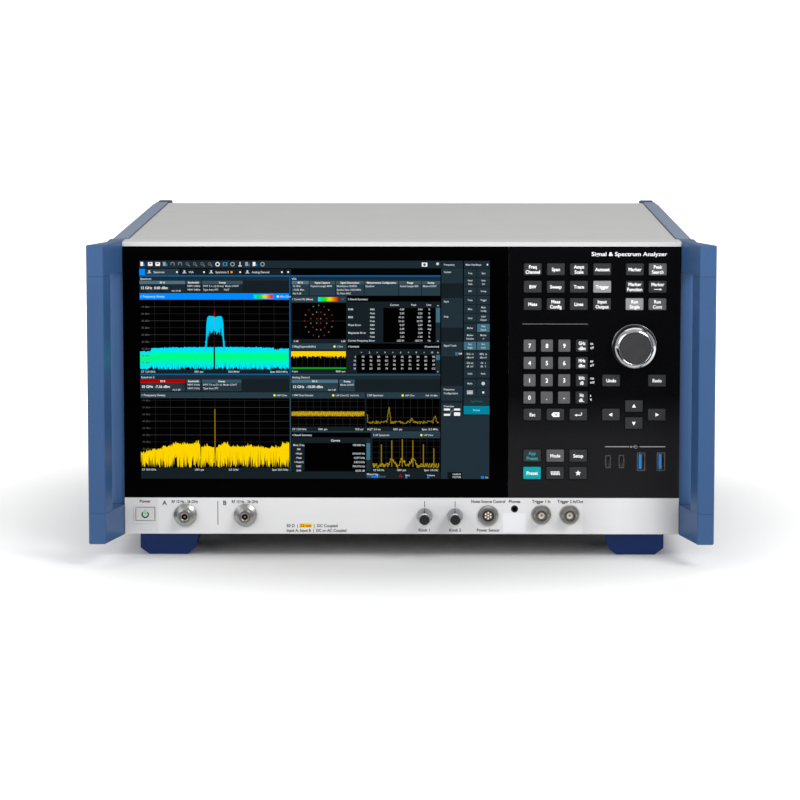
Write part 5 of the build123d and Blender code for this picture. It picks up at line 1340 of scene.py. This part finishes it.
# ---------------------------------------------------------------------------
# Dials
# ---------------------------------------------------------------------------
DIAL = (173.75, panel_z(142.0))
KNOB_X = (17.2, 40.15)
DIAL_FACE = ringed("dial_face", tint(70, 70, 73), 0.4, 0.55, DIAL, 0.3, 0.004)
DIAL_CHROME = ringed("dial_chrome", tint(200, 200, 202), 0.16, 1.0, DIAL, 0.12, 0.0012)
DIAL_SIDE = surface("dial_side", tint(52, 53, 56), 0.34, metal=0.8, mottle=0.06, patch=60.0, grain=2400.0, depth=0.004,
                    specular=0.3)
front = -14.0  # depth of the dial's face
body = Piece("main_dial_body", "main_dial", "dial_metal", [DIAL_CHROME, DIAL_SIDE])
body.use(1).turned(DIAL, [
    (0, front + 2.3), (15.25, front + 2.3), (15.45, front + 2.55), (15.55, front + 3.1), (15.55, -2.9),
    (15.7, -2.3), (16.2, -2.1), (16.45, -1.8), (16.45, -0.5),
    (16.3, -0.4), (3.0, -0.4), (3.0, 13.2), (0, 13.2),
], 160)
body.use(0).turned(DIAL, [
    (0, front + 1.0), (11.75, front + 1.0), (11.85, front + 0.35), (11.95, front + 0.1), (12.15, front),
    (12.5, front + 0.06), (13.6, front + 0.75), (15.0, front + 2.0), (15.3, front + 2.4), (15.25, front + 2.7),
    (0, front + 2.7),
], 160)
body.use(0).turned(DIAL, [
    (0, -1.5), (16.5, -1.5), (16.72, -1.42), (16.8, -1.2),
    (16.8, -0.55), (16.6, -0.42), (0, -0.42),
], 160)
body.build(smooth=True, replaces=("main_dial",))
cap = Piece("main_dial_face", "main_dial", "dial_metal", [DIAL_FACE])
cap.turned(DIAL, [
    (0, front + 0.42), (6.0, front + 0.4), (10.8, front + 0.3), (11.35, front + 0.34), (11.6, front + 0.55),
    (11.68, front + 0.8), (11.68, front + 1.2), (0, front + 1.2),
], 128)
cap.build(smooth=True)

SMALL_BODY = surface("small_dial_satin", tint(150, 152, 156), 0.36, metal=0.85, mottle=0.05, patch=90.0, grain=2600.0,
                     depth=0.006)
SMALL_RING = surface("small_dial_chrome", tint(214, 214, 216), 0.14, metal=1.0, mottle=0.03, patch=90.0, grain=2600.0,
                     depth=0.002)
for number, x in enumerate(KNOB_X, start=1):
    z = panel_z(13.8)
    front = -20.0  # depth of the knob's face
    knob = Piece(f"small_dial_{number}_body", f"small_dial_{number}", "dial_metal", [SMALL_BODY, SMALL_RING, BLACK])
    knob.use(0).turned((x, z), [
        (0, front + 0.9), (4.9, front + 0.9), (5.0, front + 1.4), (5.9, -3.6), (5.95, -3.2),
        (5.95, -0.7), (5.8, -0.45), (1.5, -0.4), (1.5, 12.0), (0, 12.0),
    ], 96)
    knob.use(1).turned((x, z), [
        (0, front + 0.5), (3.8, front + 0.5), (3.85, front + 0.15), (4.05, front), (4.3, front + 0.05),
        (4.85, front + 0.6), (4.92, front + 0.95), (0, front + 0.95),
    ], 96)
    knob.use(2).turned((x, z), [(0, front + 0.3), (3.4, front + 0.3), (3.7, front + 0.5), (3.7, front + 0.7),
                                (0, front + 0.7)], 64)
    knob.use(2).box((x - 0.28, x + 0.28), (PANEL_Y + front + 2.0, PANEL_Y - 4.0), (z + 5.0, z + 6.0))
    knob.build(smooth=True, replaces=(f"small_dial_{number}",))


# ---------------------------------------------------------------------------
# Connector strip: power key, connectors' inner parts and printing
# ---------------------------------------------------------------------------
POWER = (-192.8, panel_z(15.0))
bezel = Piece("power_key_bezel", "case", "strip_silver", [STRIP_PLATES_AND_LIGHT])
# The rim as (size, corner radius, depth behind the panel face)
BEZEL_RIM = (
    ((17.1, 14.4), 1.6, 0.02), ((16.9, 14.2), 1.5, -0.55), ((16.3, 13.0), 1.3, -0.7), ((14.9, 10.7), 0.8, -0.1),
    ((14.9, 10.7), 0.8, 0.02),
)
bezel.hoop([
    [(x, PANEL_Y + depth, z) for x, z in rounded(POWER, size, radius)] for size, radius, depth in BEZEL_RIM
])
bezel.build(smooth=True)
symbol = Piece("power_symbol", "power_key", "strip_silver", [INK_GREEN])
POWER_FACE = PANEL_Y - 0.8 - 0.012
arc = [(POWER[0] + 2.3 * math.sin(math.radians(a)), POWER[1] - 0.2 + 2.3 * math.cos(math.radians(a)))
       for a in range(40, 321, 20)]
stroke(symbol, arc, 0.95, 0, POWER_FACE)
stroke(symbol, [(POWER[0], POWER[1] + 0.1), (POWER[0], POWER[1] + 2.9)], 0.95, 0, POWER_FACE)
symbol.build()

strip_print = Piece("strip_print", "case", "strip_silver", [INK_DARK, INK_YELLOW, LABEL, INK_GREY])


def strip_words(text, x, height, size, align="CENTER", weight=0.035, narrow=1.0):
    strip_print.use(0).words(
        text, x, panel_z(height), size, PRINT_Y - 0.02, align, weight=weight, narrow=narrow * 0.96
    )


def strip_bar(x, height, kind=0):
    strip_print.use(kind).bar(x, PRINT_Y, (panel_z(height[0]), panel_z(height[1])))


strip_words("Power", POWER[0], 24.8, 2.3)
strip_words("A", -178.2, 23.6, 3.4, weight=0.03)
strip_words("B", -133.0, 23.6, 3.4, weight=0.03)
for x in (-173.0, -127.8):
    strip_words("RF 10 Hz - 26 GHz", x, 24.5, 2.2, "LEFT", narrow=0.84)
strip_bar((-138.4, -137.9), (6.8, 25.0))
strip_words("50 Ω  |", -86.6, 6.3, 2.2, "LEFT")
strip_bar((-77.0, -67.4), (4.8, 7.9), 1)
strip_words("3.5 mm", -72.2, 6.35, 2.0)
strip_words("|  DC Coupled", -66.2, 6.3, 2.2, "LEFT")
strip_words("Input A, Input B  |  DC or AC Coupled", -86.6, 2.7, 2.2, "LEFT", narrow=0.94)
for number, x in enumerate(KNOB_X, start=1):
    strip_words(f"Knob {number}", x, 3.1, 2.2)
for x in KNOB_X:
    strip_bar((x - 0.25, x + 0.25), (20.4, 25.0))
strip_words("Noise Source Control", 65.0, 24.9, 2.3, narrow=0.9)
strip_words("Power Sensor", 65.0, 3.1, 2.2)
strip_words("Phones", 84.8, 24.9, 2.2)
strip_bar((76.1, 93.2), (1.4, 16.0), 2)
strip_words("Trigger 1 In", 104.9, 24.9, 2.3, narrow=0.92)
strip_words("Trigger 2 In/Out", 126.6, 24.9, 2.3, narrow=0.92)
strip_print.build()

INSERT_MATERIALS = [RECESS_SHADE, GOLD, INSULATOR, STEEL, BLACK, SENSOR_FACE, NICKEL]
inserts = Piece("connector_inserts", "case", "connector_steel", INSERT_MATERIALS)
for x in (-162.6, -117.4):
    place = (x, panel_z(14.4))
    inserts.use(6).turned(place, [(0, -10.2), (2.3, -10.2), (2.5, -10.5),
                                  (2.75, -10.62), (3.1, -10.5), (3.15, -10.2),
                                  (3.15, -3.0), (0, -3.0)], 64)
    # A dark disc round the pin fills the bore: painted shade.
    inserts.use(0).turned(place, [(0, -10.35), (2.1, -10.35), (2.25, -10.25),
                                  (2.25, -10.1), (0, -10.1)], 48)
    inserts.use(1).turned(place, [(0, -10.75), (0.4, -10.7), (0.7, -10.4),
                                  (0.7, -10.2), (0, -10.2)], 24)
for x in (104.9, 126.1):
    place = (x, panel_z(15.0))
    inserts.use(2).turned(place, [(0, -5.6), (2.3, -5.6), (2.5, -5.3), (2.5, -1.1),
                                  (0, -1.1)], 40)
    inserts.use(1).turned(place, [(0, -6.4), (0.75, -6.2), (0.9, -5.6), (0, -5.5)], 24)
SENSOR = (65.0, panel_z(14.3))
inserts.use(4).turned(SENSOR, [(0, -1.4), (4.2, -1.4), (4.2, 0.9), (0, 0.9)], 48)
inserts.use(5).turned(SENSOR, [(0, -1.9), (3.3, -1.9), (3.45, -1.7), (3.45, -1.3),
                               (0, -1.3)], 48)
for index in range(7):
    reach = 2.15 if index else 0.0
    angle = 2 * math.pi * index / 6
    place = (SENSOR[0] + reach * math.sin(angle), SENSOR[1] + reach * math.cos(angle))
    inserts.use(2).turned(place, [(0, -2.3), (0.6, -2.25), (0.72, -1.85),
                                  (0, -1.85)], 20)
inserts.build(smooth=True)

CASE_BACK = 226.65
rear_print = Piece("rear_print", "case", "cover_grey", [INK_DARK])


def rear_words(text, x, z, size=2.6):
    rear_print.use(0).words(text, x, z, size, CASE_BACK + 0.03, weight=0.02, depth=0.05, rear=True)


REAR_ROWS = (
    (178 + 26, ["Ref In", "Ref Out", "IF Out", "Video", "Trigger 3", "Sync"]),
    (178, ["LO Out", "IF In", "10 MHz", "100 MHz", "Aux 1", "Aux 2"]),
)
for height, labels in REAR_ROWS:
    for index, label in enumerate(labels):
        rear_words(label, 30 + 26 * index, height + 2.4)
for x, label in ((45, "LAN 1"), (75, "LAN 2"), (105, "Monitor"), (135, "USB"), (155, "USB")):
    rear_words(label, x, 141.5)
rear_words("Drive", -150, 63.5)
rear_words("100 - 240 V  50 - 60 Hz", 145.5, 66.5)
rear_print.build()

tongues = Piece("usb_tongues", "case", "connector_steel", [BLUE_TONGUE, BLACK, RECESS_SHADE, RIM])
PORT_Z = panel_z(55.2)
WIDE_PORT_X = (179.5, 194.4)
SLIM_PORT_X = (154.7, 164.8)
for x in WIDE_PORT_X:
    tongues.use(0).box((x - 1.7, x + 0.1), (PANEL_Y + 0.9, PANEL_Y + 12.0), (PORT_Z - 5.7, PORT_Z + 5.7))
    # A dark plate at the back of the port: painted shade.
    tongues.use(2).box((x - 2.2, x + 2.2), (PANEL_Y + 11.2, PANEL_Y + 11.6), (PORT_Z - 6.1, PORT_Z + 6.1))
for x in SLIM_PORT_X:
    tongues.use(1).plate(rounded((x, PORT_Z), (0.9, 6.6), 0.3), PANEL_Y + 1.2, PANEL_Y + 12.0)


def port_rim(x, size, radius, width):
    """A thin raised metal rim round a port."""
    rims = []
    for grow, depth in ((0, 0.02), (0, -0.1), (-width, -0.1), (-width, 0.02)):
        shape = rounded((x, PORT_Z), (size[0] + 2 * grow, size[1] + 2 * grow), radius + grow)
        rims.append([(px, PANEL_Y + depth, pz) for px, pz in shape])
    tongues.use(3).hoop(rims)


for x in SLIM_PORT_X:
    port_rim(x, (4.2, 10.0), 2.05, 0.6)
for x in WIDE_PORT_X:
    port_rim(x, (6.4, 14.2), 0.9, 0.25)
tongues.build()
